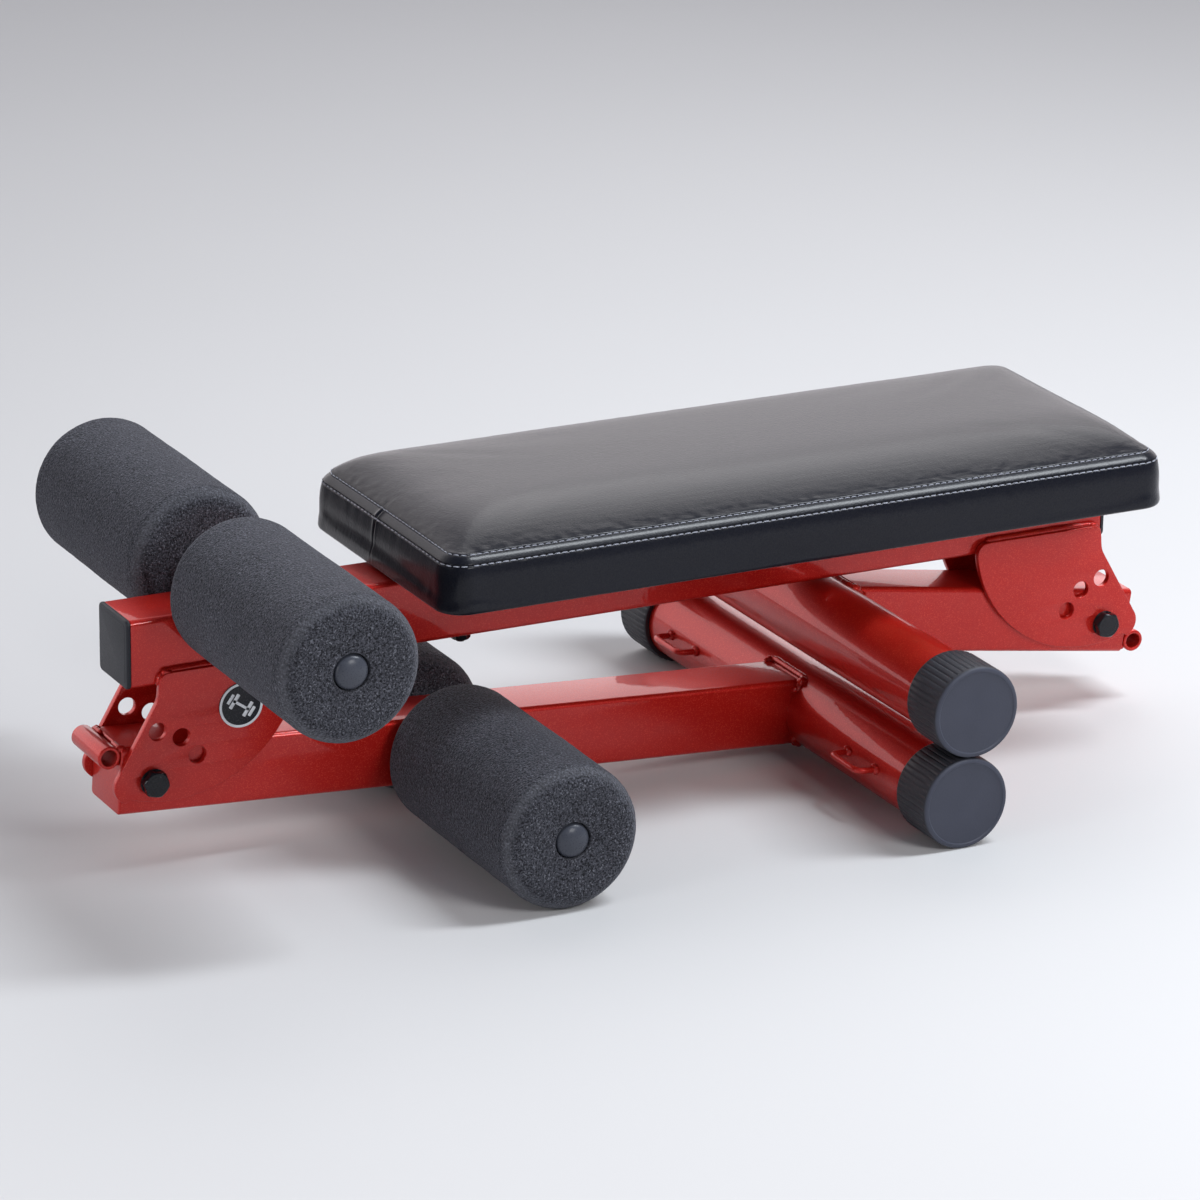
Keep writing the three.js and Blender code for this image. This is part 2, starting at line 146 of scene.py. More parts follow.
class Nodes:
    """Short ways to add nodes to a tree."""

    def __init__(self, tree):
        self.tree = tree

    def put(self, socket, value):
        if isinstance(value, bpy.types.NodeSocket):
            self.tree.links.new(value, socket)
        elif isinstance(value, tuple) and len(value) == 3 and socket.type == "RGBA":
            socket.default_value = (*value, 1)
        else:
            socket.default_value = value

    def node(self, kind, inputs=None, **settings):
        made = self.tree.nodes.new("ShaderNode" + kind)
        for key, value in settings.items():
            setattr(made, key, value)
        for key, value in (inputs or {}).items():
            self.put(made.inputs[key], value)
        return made

    def span(self, value, low, high, to_low=0.0, to_high=1.0):
        made = self.node(
            "MapRange",
            {"Value": value, "From Min": low, "From Max": high, "To Min": to_low, "To Max": to_high},
        )
        return made.outputs["Result"]

    def mix(self, factor, a, b):
        made = self.node("Mix", {0: factor}, data_type="RGBA")
        self.put(made.inputs[6], a)
        self.put(made.inputs[7], b)
        return made.outputs[2]

    def maths(self, operation, a, b=0.0):
        return self.node("Math", {0: a, 1: b}, operation=operation).outputs[0]


class Look(Nodes):
    """A material, with its shader."""

    def __init__(self, name, **sockets):
        self.material = bpy.data.materials.new(name)
        self.material.use_nodes = True
        super().__init__(self.material.node_tree)
        self.shader = self.tree.nodes["Principled BSDF"]
        self.where = self.node("TexCoord").outputs["Object"]
        self.set(**sockets)

    def set(self, **sockets):
        for key, value in sockets.items():
            self.put(self.shader.inputs[key.replace("_", " ")], value)

    def noise(self, scale, detail=2, roughness=0.5, where=None):
        made = self.node(
            "TexNoise",
            {"Vector": where or self.where, "Scale": scale, "Detail": detail, "Roughness": roughness},
        )
        return made.outputs["Fac"]

    def cells(self, scale, output="Distance", **settings):
        made = self.node("TexVoronoi", {"Vector": self.where, "Scale": scale}, **settings)
        return made.outputs[output]

    def bump(self, height, distance, strength=1.0, normal=None):
        made = self.node("Bump", {"Height": height, "Distance": distance, "Strength": strength})
        if normal is not None:
            self.put(made.inputs["Normal"], normal)
        return made.outputs["Normal"]


def red_paint():
    look = Look("red_paint", Metallic=0.45, Coat_Weight=0.62, Coat_Roughness=0.03, IOR=1.3)
    flake = look.node("SeparateColor", {"Color": look.cells(1700, "Color")}).outputs[0]
    cloud = look.noise(14, 3)
    deep = look.mix(cloud, (0.45, 0.0075, 0.0050), (0.54, 0.0120, 0.0080))
    bright = look.span(flake, 0.70, 1.0, 0.0, 0.36)
    look.set(Base_Color=look.mix(bright, deep, (0.90, 0.11, 0.06)))
    look.set(Roughness=look.span(flake, 0.0, 1.0, 0.34, 0.48))
    peel = look.bump(look.noise(240, 1), 0.00004)
    look.set(Normal=look.bump(flake, 0.00002, 0.5, peel))
    look.set(Coat_Normal=peel)
    return look.material


def foam():
    look = Look("roller_foam", Sheen_Weight=0.12, Sheen_Roughness=0.5, IOR=1.4)
    look.set(Specular_IOR_Level=0.25, Sheen_Tint=(0.75, 0.78, 0.9))
    cell = look.cells(520)
    grain = look.noise(700, 2, 0.6)
    blotch = look.noise(30, 2)
    normal = look.node("SeparateXYZ", {"Vector": look.node("NewGeometry").outputs["Normal"]})
    facing = look.maths("ABSOLUTE", normal.outputs[1])
    end_face = look.span(facing, 0.80, 0.95)
    speck = look.span(look.noise(760, 1), 0.60, 0.70)
    pore = look.span(grain, 0.38, 0.62)
    base = look.mix(pore, (0.004, 0.004, 0.006), (0.078, 0.080, 0.098))
    base = look.mix(look.span(blotch, 0.3, 0.7, 0.0, 0.30), base, (0.026, 0.026, 0.032))
    share = look.span(end_face, 0.0, 1.0, 0.30, 0.42)
    # Painted highlight: a lighter ring where each end face rounds into the side, standing in for light
    # catching that edge.
    rim = look.maths("MULTIPLY", look.span(facing, 0.20, 0.50), look.span(facing, 0.93, 0.72))
    base = look.mix(look.maths("MULTIPLY", rim, 0.22), base, (0.20, 0.205, 0.23))
    look.set(Base_Color=look.mix(look.maths("MULTIPLY", speck, share), base, (0.30, 0.31, 0.36)))
    look.set(Roughness=look.span(grain, 0.3, 0.7, 0.82, 0.98))
    rough = look.bump(grain, 0.0016, 1.0)
    look.set(Normal=look.bump(cell, 0.0008, 0.7, rough))
    return look.material


def vinyl():
    look = Look("pad_vinyl", IOR=1.42, Specular_IOR_Level=0.12, Coat_Weight=0.26, Coat_Roughness=0.17)
    look.set(Sheen_Weight=0.27, Sheen_Roughness=0.32, Sheen_Tint=(1.0, 0.95, 0.98))
    grain = look.cells(900, "Distance", feature="SMOOTH_F1")
    fine = look.noise(1500, 2)
    cloud = look.noise(9, 3)
    speck = look.span(look.noise(900, 1), 0.35, 0.65)
    base = look.mix(cloud, (0.0036, 0.0044, 0.0092), (0.0056, 0.0068, 0.0130))
    look.set(Base_Color=look.mix(look.maths("MULTIPLY", speck, 0.5), base, (0.016, 0.016, 0.020)))
    height = look.maths("ADD", grain, look.maths("MULTIPLY", fine, 0.6))
    look.set(Roughness=look.span(fine, 0.3, 0.7, 0.26, 0.40))
    soft = look.bump(look.noise(70, 2), 0.0004, 0.12)
    look.set(Normal=look.bump(height, 0.00022, 0.7, soft))
    return look.material


def moulded(name, low, high, rough, grain_scale=900.0, depth=0.00008):
    """Textured rubber or plastic."""
    look = Look(name, IOR=1.46, Specular_IOR_Level=0.3)
    grain = look.noise(grain_scale, 3, 0.6)
    look.set(Base_Color=look.mix(look.noise(45, 4), low, high))
    look.set(Roughness=look.span(grain, 0.3, 0.7, rough - 0.06, rough + 0.06))
    look.set(Normal=look.bump(grain, depth, 0.8))
    return look.material


def cap_rubber():
    """Foot caps: dark ribbed sides and a face painted lighter, as painted light where the light falls on it.
    """
    look = Look("foot_rubber", IOR=1.46, Specular_IOR_Level=0.35)
    grain = look.noise(700, 3, 0.6)
    across = look.node("SeparateXYZ", {"Vector": look.where}).outputs[1]
    face = look.span(look.maths("ABSOLUTE", across), 0.2362, 0.2374)
    sides = look.mix(look.noise(45, 4), (0.020, 0.021, 0.027), (0.038, 0.040, 0.050))
    # Painted light: the outer face gets a lighter colour than the sides, standing in for the light that falls
    # on it.
    painted_light_face = look.mix(look.noise(30, 4), (0.041, 0.045, 0.066), (0.062, 0.067, 0.094))
    look.set(Base_Color=look.mix(face, sides, painted_light_face))
    look.set(Roughness=look.span(grain, 0.3, 0.7, 0.42, 0.58))
    look.set(Normal=look.bump(grain, 0.00010, 0.8))
    return look.material


def metal(name, low, high, rough, metallic=1.0, coat=0.0):
    look = Look(name, Metallic=metallic, Coat_Weight=coat, Coat_Roughness=0.08)
    look.set(Specular_IOR_Level=0.5 * metallic)
    grain = look.noise(500, 3, 0.6)
    look.set(Base_Color=look.mix(grain, low, high))
    look.set(Roughness=look.span(look.noise(60, 3), 0.3, 0.7, rough - 0.06, rough + 0.08))
    look.set(Normal=look.bump(grain, 0.00003, 0.6))
    return look.material


def plywood():
    look = Look("plywood", Roughness=0.75)
    stretched = look.node("Mapping", {"Vector": look.where, "Scale": (6.0, 90.0, 90.0)}).outputs[0]
    grain = look.noise(1.6, 6, 0.65, stretched)
    look.set(Base_Color=look.mix(grain, (0.20, 0.11, 0.045), (0.50, 0.33, 0.17)))
    look.set(Normal=look.bump(grain, 0.0003, 0.6))
    return look.material


def thread():
    look = Look("thread", Roughness=0.45, Sheen_Weight=0.3)
    twist = look.node("TexWave", {"Vector": look.where, "Scale": 420.0}, bands_direction="DIAGONAL")
    look.set(Base_Color=look.mix(twist.outputs["Fac"], (0.16, 0.17, 0.22), (0.48, 0.50, 0.58)))
    look.set(Normal=look.bump(twist.outputs["Fac"], 0.0002, 0.8))
    return look.material


def floor_look():
    look = Look("studio_floor", Roughness=0.85, Specular_IOR_Level=0.15)
    look.set(Base_Color=look.mix(look.noise(1.5, 2), (0.61, 0.61, 0.615), (0.63, 0.63, 0.635)))
    return look.material


PAINT = red_paint()
FOAM = foam()
VINYL = vinyl()
RUBBER = cap_rubber()
PLASTIC = moulded("black_plastic", (0.015, 0.016, 0.021), (0.026, 0.028, 0.036), 0.46)
PLUG = moulded("plug_plastic", (0.042, 0.046, 0.060), (0.068, 0.074, 0.094), 0.30)
BLACK_STEEL = metal("black_steel", (0.008, 0.008, 0.010), (0.016, 0.016, 0.021), 0.24, 0.3, 0.35)
ZINC = metal("zinc_steel", (0.42, 0.43, 0.45), (0.62, 0.63, 0.66), 0.34)
THREAD = thread()
# Painted shade: near-black matte colour for the needle holes, standing in for the shade inside them.
PAINTED_HOLE_SHADE = moulded("needle_hole", (0.0015, 0.0015, 0.0025), (0.004, 0.004, 0.006), 0.8)
PLYWOOD = plywood()
BADGE_BLACK = moulded("badge_black", (0.010, 0.010, 0.013), (0.020, 0.020, 0.026), 0.25, 700.0, 0.00002)
BADGE_WHITE = metal("badge_metal", (0.62, 0.63, 0.66), (0.80, 0.81, 0.84), 0.32, 0.35)
FLOOR = floor_look()

# ---------------------------------------------------------------- making pieces


def weld(mesh, distance):
    """Joins points that lie together and turns all faces outwards."""
    bm = bmesh.new()
    bm.from_mesh(mesh)
    bmesh.ops.remove_doubles(bm, verts=bm.verts, dist=distance)
    bmesh.ops.recalc_face_normals(bm, faces=bm.faces)
    bm.to_mesh(mesh)
    bm.free()


def piece(name, mesh, material, body, slot, replaces=(), place=None, sharp=38):
    """Welds, scales and shades a mesh and puts it on its body."""
    weld(mesh, 0.002)
    if place is not None:
        mesh.transform(place)
    mesh.transform(Matrix.Scale(MM, 4))
    mesh.shade_smooth()
    mesh.set_sharp_from_angle(angle=radians(sharp))
    mesh.materials.clear()
    mesh.materials.append(material)
    mesh.name = name
    made = add_object(name, mesh)
    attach(made, body)
    if replaces:
        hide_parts(*replaces)
    return made


def painted(name, mesh, body, replaces=(), place=None):
    piece(name, mesh, PAINT, body, "red_paint", replaces, place)


def mesh_of(verts, faces):
    mesh = bpy.data.meshes.new("mesh")
    mesh.from_pydata([tuple(v) for v in verts], [], faces)
    return mesh


def join_meshes(meshes):
    bm = bmesh.new()
    for mesh in meshes:
        bm.from_mesh(mesh)
    joined = bpy.data.meshes.new("mesh")
    bm.to_mesh(joined)
    bm.free()
    return joined


def moved(mesh, x=0.0, y=0.0, z=0.0):
    mesh.transform(Matrix.Translation((x, y, z)))
    return mesh


def rounded(points, closed=False, steps=5):
    """(a, b) points of a line of (a, b, radius) corners, with each corner rounded."""
    out = []
    count = len(points)
    for i, (a, b, radius) in enumerate(points):
        at = Vector((a, b))
        if radius <= 0 or (not closed and i in (0, count - 1)):
            out.append((a, b))
            continue
        before = (Vector(points[i - 1][:2]) - at).normalized()
        after = (Vector(points[(i + 1) % count][:2]) - at).normalized()
        half = before.angle(after) / 2
        centre = at + (before + after).normalized() * (radius / sin(half))
        start = at + before * (radius / tan(half)) - centre
        end = at + after * (radius / tan(half)) - centre
        turn = atan2(start.cross(end), start.dot(end))
        first = atan2(start.y, start.x)
        for k in range(steps + 1):
            angle = first + turn * k / steps
            out.append((centre.x + radius * cos(angle), centre.y + radius * sin(angle)))
    return out


def faces_between(rows, size, loop=False):
    """Four-sided faces between rows of points that each close on themselves."""
    faces = []
    for row in range(rows if loop else rows - 1):
        p, q = row * size, (row + 1) % rows * size
        for k in range(size):
            n = (k + 1) % size
            faces.append((p + k, p + n, q + n, q + k))
    return faces


def skin(rings, closed_ends=True, loop=False):
    """A mesh over rings of equal length; its ends are closed by one face each."""
    verts = [v for ring in rings for v in ring]
    size = len(rings[0])
    faces = faces_between(len(rings), size, loop)
    if closed_ends and not loop:
        faces.append(tuple(range(size)))
        faces.append(tuple(range((len(rings) - 1) * size, len(rings) * size)))
    return mesh_of(verts, faces)


def ring_about_y(y, segments, radius_at):
    """Points round the Y axis; radius_at gives the radius at an angle."""
    ring = []
    for k in range(segments):
        angle = 2 * pi * k / segments
        radius = radius_at(angle)
        ring.append((radius * cos(angle), y, radius * sin(angle)))
    return ring


def lathe(profile, segments=96, ripple=lambda angle, y, radius: 0.0):
    """Turns (radius, y) points about the Y axis, after rounding them if they are corners.

    A profile that ends where it starts is a bored piece.
    """
    least_radius = 0.0005
    if len(profile[0]) == 3:
        profile = rounded(profile)
    bored = profile[0] == profile[-1]
    rings = [
        ring_about_y(y, segments, lambda angle: max(radius, least_radius) + ripple(angle, y, radius))
        for radius, y in (profile[:-1] if bored else profile)
    ]
    return skin(rings, closed_ends=not bored, loop=bored)


def square_ring(x, size, radius, steps=6):
    h = size / 2
    corners = [(-h, -h, radius), (h, -h, radius), (h, h, radius), (-h, h, radius)]
    return [(x, a, b) for a, b in rounded(corners, closed=True, steps=steps)]


def square_bar(x0, x1, rim0, rim1, size=BOX, corner=BOX_CORNER):
    """A closed square bar along X whose end rims are rounded."""
    rings = []
    steps = 4
    least_corner = 0.3
    for end, rim, way in ((x0, rim0, 1), (x1, rim1, -1)):
        for k in range(steps + 1)[::way]:
            angle = pi / 2 * k / steps
            inset = rim * (1 - sin(angle))
            x = end + way * rim * (1 - cos(angle))
            rings.append(square_ring(x, size - 2 * inset, corner - min(inset, corner - least_corner)))
    return skin(rings)


def sheet_metal(outline, holes, y0, y1, rim=0.5):
    """A plate in X and Z with rounded rims, from an outline and holes of (x, z) points."""
    curve = bpy.data.curves.new("plate", "CURVE")
    curve.dimensions = "2D"
    curve.fill_mode = "BOTH"
    curve.extrude = (y1 - y0) / 2 - rim
    curve.bevel_depth = rim
    curve.bevel_resolution = 2
    curve.offset = -rim
    for loop in [outline, *holes]:
        spline = curve.splines.new("POLY")
        spline.points.add(len(loop) - 1)
        for point, (a, b) in zip(spline.points, loop):
            point.co = (a, b, 0, 1)
        spline.use_cyclic_u = True
    holder = add_object("plate", curve)
    bpy.context.view_layer.update()
    view = bpy.context.evaluated_depsgraph_get()
    mesh = bpy.data.meshes.new_from_object(holder.evaluated_get(view))
    bpy.data.objects.remove(holder)
    bpy.data.curves.remove(curve)
    mesh.transform(Matrix.Translation((0, (y0 + y1) / 2, 0)) @ Matrix.Rotation(pi / 2, 4, "X"))
    return mesh


def circle(radius, x=0.0, z=0.0, segments=48):
    step = 2 * pi / segments
    return [(x + radius * cos(k * step), z + radius * sin(k * step)) for k in range(segments)]


def arc(x, z, radius, first, last, steps):
    """Points of an arc; first and last are in degrees."""
    out = []
    for k in range(steps + 1):
        angle = radians(first + (last - first) * k / steps)
        out.append((x + radius * cos(angle), z + radius * sin(angle)))
    return out


def bend(a, b, c):
    """Points of a quadratic curve from a to c, pulled towards b."""
    out = []
    steps = 8
    for k in range(steps + 1):
        t = k / steps
        weights = ((1 - t) ** 2, 2 * t * (1 - t), t * t)
        out.append(tuple(sum(w * p[i] for w, p in zip(weights, (a, b, c))) for i in range(len(a))))
    return out


def resampled(points, pitch, closed=False):
    """Points along a line at an even pitch."""
    line = [Vector(p) for p in points]
    if closed:
        line.append(line[0].copy())
    lengths = [0.0]
    for a, b in zip(line, line[1:]):
        lengths.append(lengths[-1] + (b - a).length)
    count = max(2, round(lengths[-1] / pitch))
    out, i = [], 0
    for k in range(count if closed else count + 1):
        at = lengths[-1] * k / count
        while i < len(line) - 2 and lengths[i + 1] < at:
            i += 1
        part = (at - lengths[i]) / max(lengths[i + 1] - lengths[i], 1e-9)
        out.append(line[i].lerp(line[i + 1], min(part, 1.0)))
    return out


def swept(points, radius, sides=12, closed=False):
    """A round bar along points. radius is a number or a function of the point's index."""
    size = radius if callable(radius) else (lambda i: radius)
    count = len(points)
    rings = []
    side = None
    for i, at in enumerate(points):
        ahead = points[(i + 1) % count] if closed or i < count - 1 else at
        behind = points[i - 1] if closed or i > 0 else at
        along = (Vector(ahead) - Vector(behind)).normalized()
        if side is None:
            side = along.orthogonal().normalized()
        side = (side - along * side.dot(along)).normalized()
        other = along.cross(side)
        ring = []
        for k in range(sides):
            angle = 2 * pi * k / sides
            ring.append(Vector(at) + (side * cos(angle) + other * sin(angle)) * size(i))
        rings.append(ring)
    return skin(rings, loop=closed)


def weld_bead(points, radius=2.2, closed=False):
    """A rippled weld bead along a line."""
    line = resampled(points, 0.8, closed)
    ripple_points = 4.0
    count = len(line)

    def size(i):
        wave = 0.5 + 0.5 * abs(sin(pi * i / ripple_points))
        wander = 0.12 * noise.noise(line[i] * 0.35)
        ends = 1.0 if closed else min(1.0, 0.45 + 0.18 * min(i, count - 1 - i))
        return radius * ends * (0.86 + 0.16 * wave + wander)

    return swept(line, size, 12, closed)


def weld_blob(centre, radius, squash=(1, 1, 1), detail=3):
    bm = bmesh.new()
    bmesh.ops.create_icosphere(bm, subdivisions=detail, radius=1)
    for v in bm.verts:
        lump = 1 + 0.22 * noise.noise(v.co * 1.7 + Vector(centre) * 0.13)
        v.co = Vector([c * radius * lump * s for c, s in zip(v.co, squash)]) + Vector(centre)
    mesh = bpy.data.meshes.new("mesh")
    bm.to_mesh(mesh)
    bm.free()
    return mesh


def hexagon_radius(angle, corner_radius):
    sector = pi / 3
    apothem = corner_radius * cos(sector / 2)
    return apothem / cos((angle % sector) - sector / 2)


def hex_rings(corner_radius, y0, y1, chamfer0, chamfer1, turn=0.0, segments=72):
    """Rings of a hexagonal bar along Y, with its corners turned off at either end."""
    end_radius = 0.95 * corner_radius * cos(pi / 6)
    full = 1.01 * corner_radius
    rings = []
    steps = 4
    for end, chamfer, way in ((y0, chamfer0, 1), (y1, chamfer1, -1)):
        for k in range(steps + 1)[::way]:
            part = k / steps
            limit = end_radius + (full - end_radius) * part if chamfer > 0 else full
            y = end + way * chamfer * part
            rings.append(ring_about_y(
                y, segments, lambda angle: min(hexagon_radius(angle - turn, corner_radius), limit)))
    return rings


def threaded(radius, y0, y1, pitch=1.75, sides=36):
    """A bolt's end with a rolled thread, closed by a chamfer."""
    rings = []
    rows = int((y1 - y0) / (pitch / 6))
    depth = 0.9
    chamfer = 1.2
    for row in range(rows + 1):
        y = y0 + (y1 - y0) * row / rows
        taper = min(1.0, (y1 - y) / chamfer) * depth

        def radius_at(angle):
            wave = abs(((y / pitch - angle / (2 * pi)) % 1.0) * 2 - 1)
            return radius - depth + taper * (0.1 + 0.8 * wave)

        rings.append(ring_about_y(y, sides, radius_at))
    return skin(rings)


def mirrored(mesh):
    """The same piece on the other side of the centre line."""
    mesh.transform(Matrix.Scale(-1, 4, (0, 1, 0)))
    mesh.flip_normals()
    return mesh


SIDES = (("left", -1), ("right", 1))

# ---------------------------------------------------------------- rail


def build_rail():
    low, high = box_mm("main_rail")
    centre = (low + high) / 2
    rail = square_bar(low.x, high.x, 0.4, 0.4)
    painted("rail_tube", moved(rail, z=centre.z), "bench", ["main_rail"])
    flange = 3.0
    for end, sign in (("front", -1), ("rear", 1)):
        node = f"rail_end_cap_{end}"
        low, high = box_mm(node)
        outer = low.x if sign < 0 else high.x
        inner = outer - sign * flange
        cap = square_bar(0, flange, 0.25, 1.5, BOX + 0.6, 4.4)
        dish = square_bar(flange - 0.1, flange + 0.15, 0.05, 0.1, BOX - 7, 3.0)
        cap = join_meshes([cap, dish])
        turn = Matrix.Rotation(pi if sign < 0 else 0.0, 4, "Z")
        place = Matrix.Translation((inner, 0, centre.z)) @ turn
        piece(f"end_cap_{end}", cap, PLASTIC, "bench", "black_plastic", [node], place)


# ---------------------------------------------------------------- brackets


def plate_outline():
    """A bracket plate about its pivot, with the leg's tube running off to +X."""
    lobe = (-17.0, -1.5, 12.5)
    sweep = (15.0, 85.0, 101.3)
    meets = degrees(atan2(lobe[1] - sweep[1], lobe[0] - sweep[0]))
    under = arc(*sweep, meets, -11, 60)
    points = bend((14, PLATE_TOP), (6, PLATE_TOP), (5.5, 71))
    points += bend((5, 65), (4.8, 60.5), (2.4, 56.6))
    points += arc(*lobe, 149, 360 + meets, 20)
    points += under[1:]
    points += bend(under[-1], (117, PLATE_TOP), (104, PLATE_TOP))[1:]
    return points


def lock_point(turn):
    """Where a lock hole lies from its pivot, for a turn in degrees."""
    angle = radians(turn)
    return LOCK_RADIUS * cos(angle), LOCK_RADIUS * sin(angle)


def build_bracket(end, sign):
    """sign is the direction from the bracket to the middle of the bench."""
    pivot = PIVOT[end]
    place = Matrix.Translation(pivot)
    facing = Matrix.Scale(sign, 4, (1, 0, 0))
    for side, way in SIDES:
        near, far = sorted((way * PLATE_INNER, way * PLATE_OUTER))
        holes = [circle(LOCK_HOLE, *lock_point(a)) for a in LOCK_HOLE_ANGLES]
        holes.append(circle(BOLT + 0.4))
        plate = sheet_metal(plate_outline(), holes, near, far, 0.55)
        plate.transform(facing)
        node = f"{end}_bracket_{side}"
        painted(f"{end}_plate_{side}", plate, "bench", [node], place)
        top, y = PLATE_TOP, way * (HALF_BOX + 1.2)
        bead = weld_bead([(12, y, top + 0.4), (40, y, top + 0.9), (106, y, top + 0.6)], 2.3)
        corner = weld_bead([(5.8, y, 70.5), (7.5, y, 76.5), (13, y, 79.8)], 2.6)
        blob = weld_blob((12.5, y + way * 0.8, top - 0.2), 3.4, (1.3, 0.8, 0.8))
        welds = join_meshes([bead, corner, blob])
        welds.transform(facing)
        painted(f"{end}_plate_weld_{side}", welds, "bench", (), place)
    build_pivot(end, pivot)


def build_pivot(end, pivot):
    place = Matrix.Translation(pivot)
    face = PLATE_OUTER + 0.3
    turn = radians(-12)
    low = -face - BOLT_HEAD_HEIGHT
    mark, mark_foot = BOLT_HEAD * 0.62, BOLT_HEAD * 0.66
    head = skin(hex_rings(BOLT_HEAD, low, -face - 0.9, 1.6, 0.0, turn))
    washer = lathe([
        (0, -face - 0.9, 0), (BOLT_HEAD - 0.4, -face - 0.9, 0.25), (BOLT_HEAD - 0.4, -face, 0), (0, -face, 0),
    ], 64)
    disc = lathe([
        (0, low - 0.12, 0), (mark, low - 0.12, 0.1), (mark_foot, low + 0.3, 0), (0, low + 0.3, 0),
    ], 48)
    shank = lathe([(0, -face), (BOLT, -face), (BOLT, face), (0, face)], 40)
    tail = threaded(BOLT, face - 0.5, face + NUT_HEIGHT + BOLT_PAST_NUT)
    bolt = join_meshes([head, washer, disc, shank, tail])
    node = f"{end}_pivot_bolt"
    piece(f"{end}_hex_bolt", bolt, BLACK_STEEL, "bench", "black_steel", [node], place, 30)
    grip = skin(hex_rings(BOLT_HEAD, face, face + NUT_HEIGHT - 3.5, 0.8, 1.0, turn))
    top = face + NUT_HEIGHT
    collar = lathe([
        (0, top - 4, 0), (8.2, top - 4, 0), (7.6, top, 1.0),
        (5.4, top, 0.4), (5.2, top - 2, 0), (0, top - 2, 0),
    ], 48)
    nut = join_meshes([grip, collar])
    piece(f"{end}_lock_nut", nut, BLACK_STEEL, "bench", "black_steel", [f"{end}_pivot_nut"], place, 30)


def build_badge():
    """A plain round badge with a rim and a generic dumbbell mark."""
    low, high = box_mm("bracket_badge")
    centre, radius = (low + high) / 2, (high.x - low.x) / 2
    back = -PLATE_OUTER
    front = back - 0.9
    plate = lathe([
        (0, back, 0), (radius, back, 0), (radius, front, 0.5), (0, front, 0),
    ], 96)
    rim = lathe([
        (radius - 1.9, front + 0.1, 0), (radius - 1.9, front - 0.22, 0.1),
        (radius - 0.1, front - 0.22, 0.1), (radius - 0.1, front + 0.1, 0), (radius - 1.9, front + 0.1, 0),
    ], 96)
    # Each bar of the dumbbell: its middle, half width and half height on a badge of radius 14.
    bars = [(0, 6.2, 0.85), (-5.2, 1.15, 5.0), (5.2, 1.15, 5.0), (-8.2, 1.0, 3.3), (8.2, 1.0, 3.3)]
    marks = []
    for x, a, b in ([v * radius / 14 for v in bar] for bar in bars):
        loop = rounded([(-a, -b, 0.5), (a, -b, 0.5), (a, b, 0.5), (-a, b, 0.5)], True, 3)
        loop = [(x + p, q) for p, q in loop]
        marks.append(sheet_metal(loop, [], front - 0.2, front + 0.1, 0.05))
    mark = join_meshes(marks)
    mark.transform(Matrix.Rotation(radians(35), 4, "Y"))
    place = Matrix.Translation((centre.x, 0, centre.z))
    piece("badge_plate", plate, BADGE_BLACK, "bench", "black_plastic", ["bracket_badge"], place)
    piece("badge_rim", join_meshes([rim, mark]), BADGE_WHITE, "bench", "badge_metal", (), place)


# ---------------------------------------------------------------- legs


def leg_place(end):
    """Where the leg's own frame lies: origin at the pivot, X along the leg's tube."""
    pivot = PIVOT[end]
    foot = middle(f"{end}_foot_tube")
    own = atan2(-FOOT_DROP[end], FOOT_REACH[end])
    seen = atan2(foot.z - pivot.z, foot.x - pivot.x)
    return Matrix.Translation(pivot) @ Matrix.Rotation(own - seen, 4, "Y")


def foot_cap():
    """A ribbed rubber cap on the +Y end of a cross tube."""
    low, high = box_mm("front_foot_cap_right")
    lip, face = low.y, high.y
    ribs = 46

    def ribbing(angle, y, radius):
        if radius < FOOT_CAP - 1.2 or y < lip + 2.0 or y > face - 3.4:
            return 0.0
        wave = cos(ribs * angle)
        return -0.55 * max(0.0, wave) ** 2

    profile = rounded([
        (FOOT_TUBE + 0.2, lip + 1.5, 0), (FOOT_TUBE + 0.2, lip, 0.2), (FOOT_CAP - 0.9, lip, 0.9),
        (FOOT_CAP - 0.3, lip + 1.9, 0), (FOOT_CAP, lip + 2.4, 0),
        (FOOT_CAP, lip + 14, 0), (FOOT_CAP, face - 14, 0),
        (FOOT_CAP, face - 3.6, 0), (FOOT_CAP - 0.1, face - 3.0, 0), (FOOT_CAP - 0.1, face - 0.1, 2.4),
        (FOOT_CAP - 3.4, face - 0.1, 0.5), (FOOT_CAP - 4.2, face - 0.7, 0.4), (0, face - 0.55, 0),
    ])
    return lathe([(0, lip + 1.5), *profile], ribs * 8, ribbing)


def build_foot(end, place):
    body = f"{end}_leg"
    low, high = box_mm(f"{end}_foot_tube")
    centre = (low + high) / 2
    outline = [(0, low.y), (FOOT_TUBE, low.y), (FOOT_TUBE, 0), (FOOT_TUBE, high.y), (0, high.y)]
    tube = lathe(outline, 128)
    at = Matrix.Translation((centre.x, 0, centre.z))
    painted(f"{end}_cross_tube", tube, body, [f"{end}_foot_tube"], at)
    for side, way in SIDES:
        cap = foot_cap()
        if way < 0:
            mirrored(cap)
        node = f"{end}_foot_cap_{side}"
        piece(f"{end}_cap_{side}", cap, RUBBER, body, "foot_rubber", [node], at)
    reach, drop = FOOT_REACH[end], FOOT_DROP[end]
    facing = -1 if reach > 0 else 1
    path = []
    for _, y, z in square_ring(0, BOX, 5, 4):
        y, z = y * 1.03, z * 1.03
        depth = sqrt(max(FOOT_TUBE ** 2 - (z + drop) ** 2, 4.0))
        path.append((reach + facing * (depth + 0.6), y, z))
    beads = [weld_bead(path, 2.7, closed=True)]
    for way in (-1, 1):
        for z, size in ((HALF_BOX - 1.0, 4.4), (HALF_BOX - 6.5, 3.6), (-HALF_BOX + 2.5, 3.4)):
            depth = sqrt(FOOT_TUBE ** 2 - (z + drop) ** 2)
            at = (reach + facing * (depth + 1.2), way * (HALF_BOX + 0.2), z)
            beads.append(weld_blob(at, size, (1.0, 0.8, 0.9)))
    painted(f"{end}_foot_weld", join_meshes(beads), body, (), place)


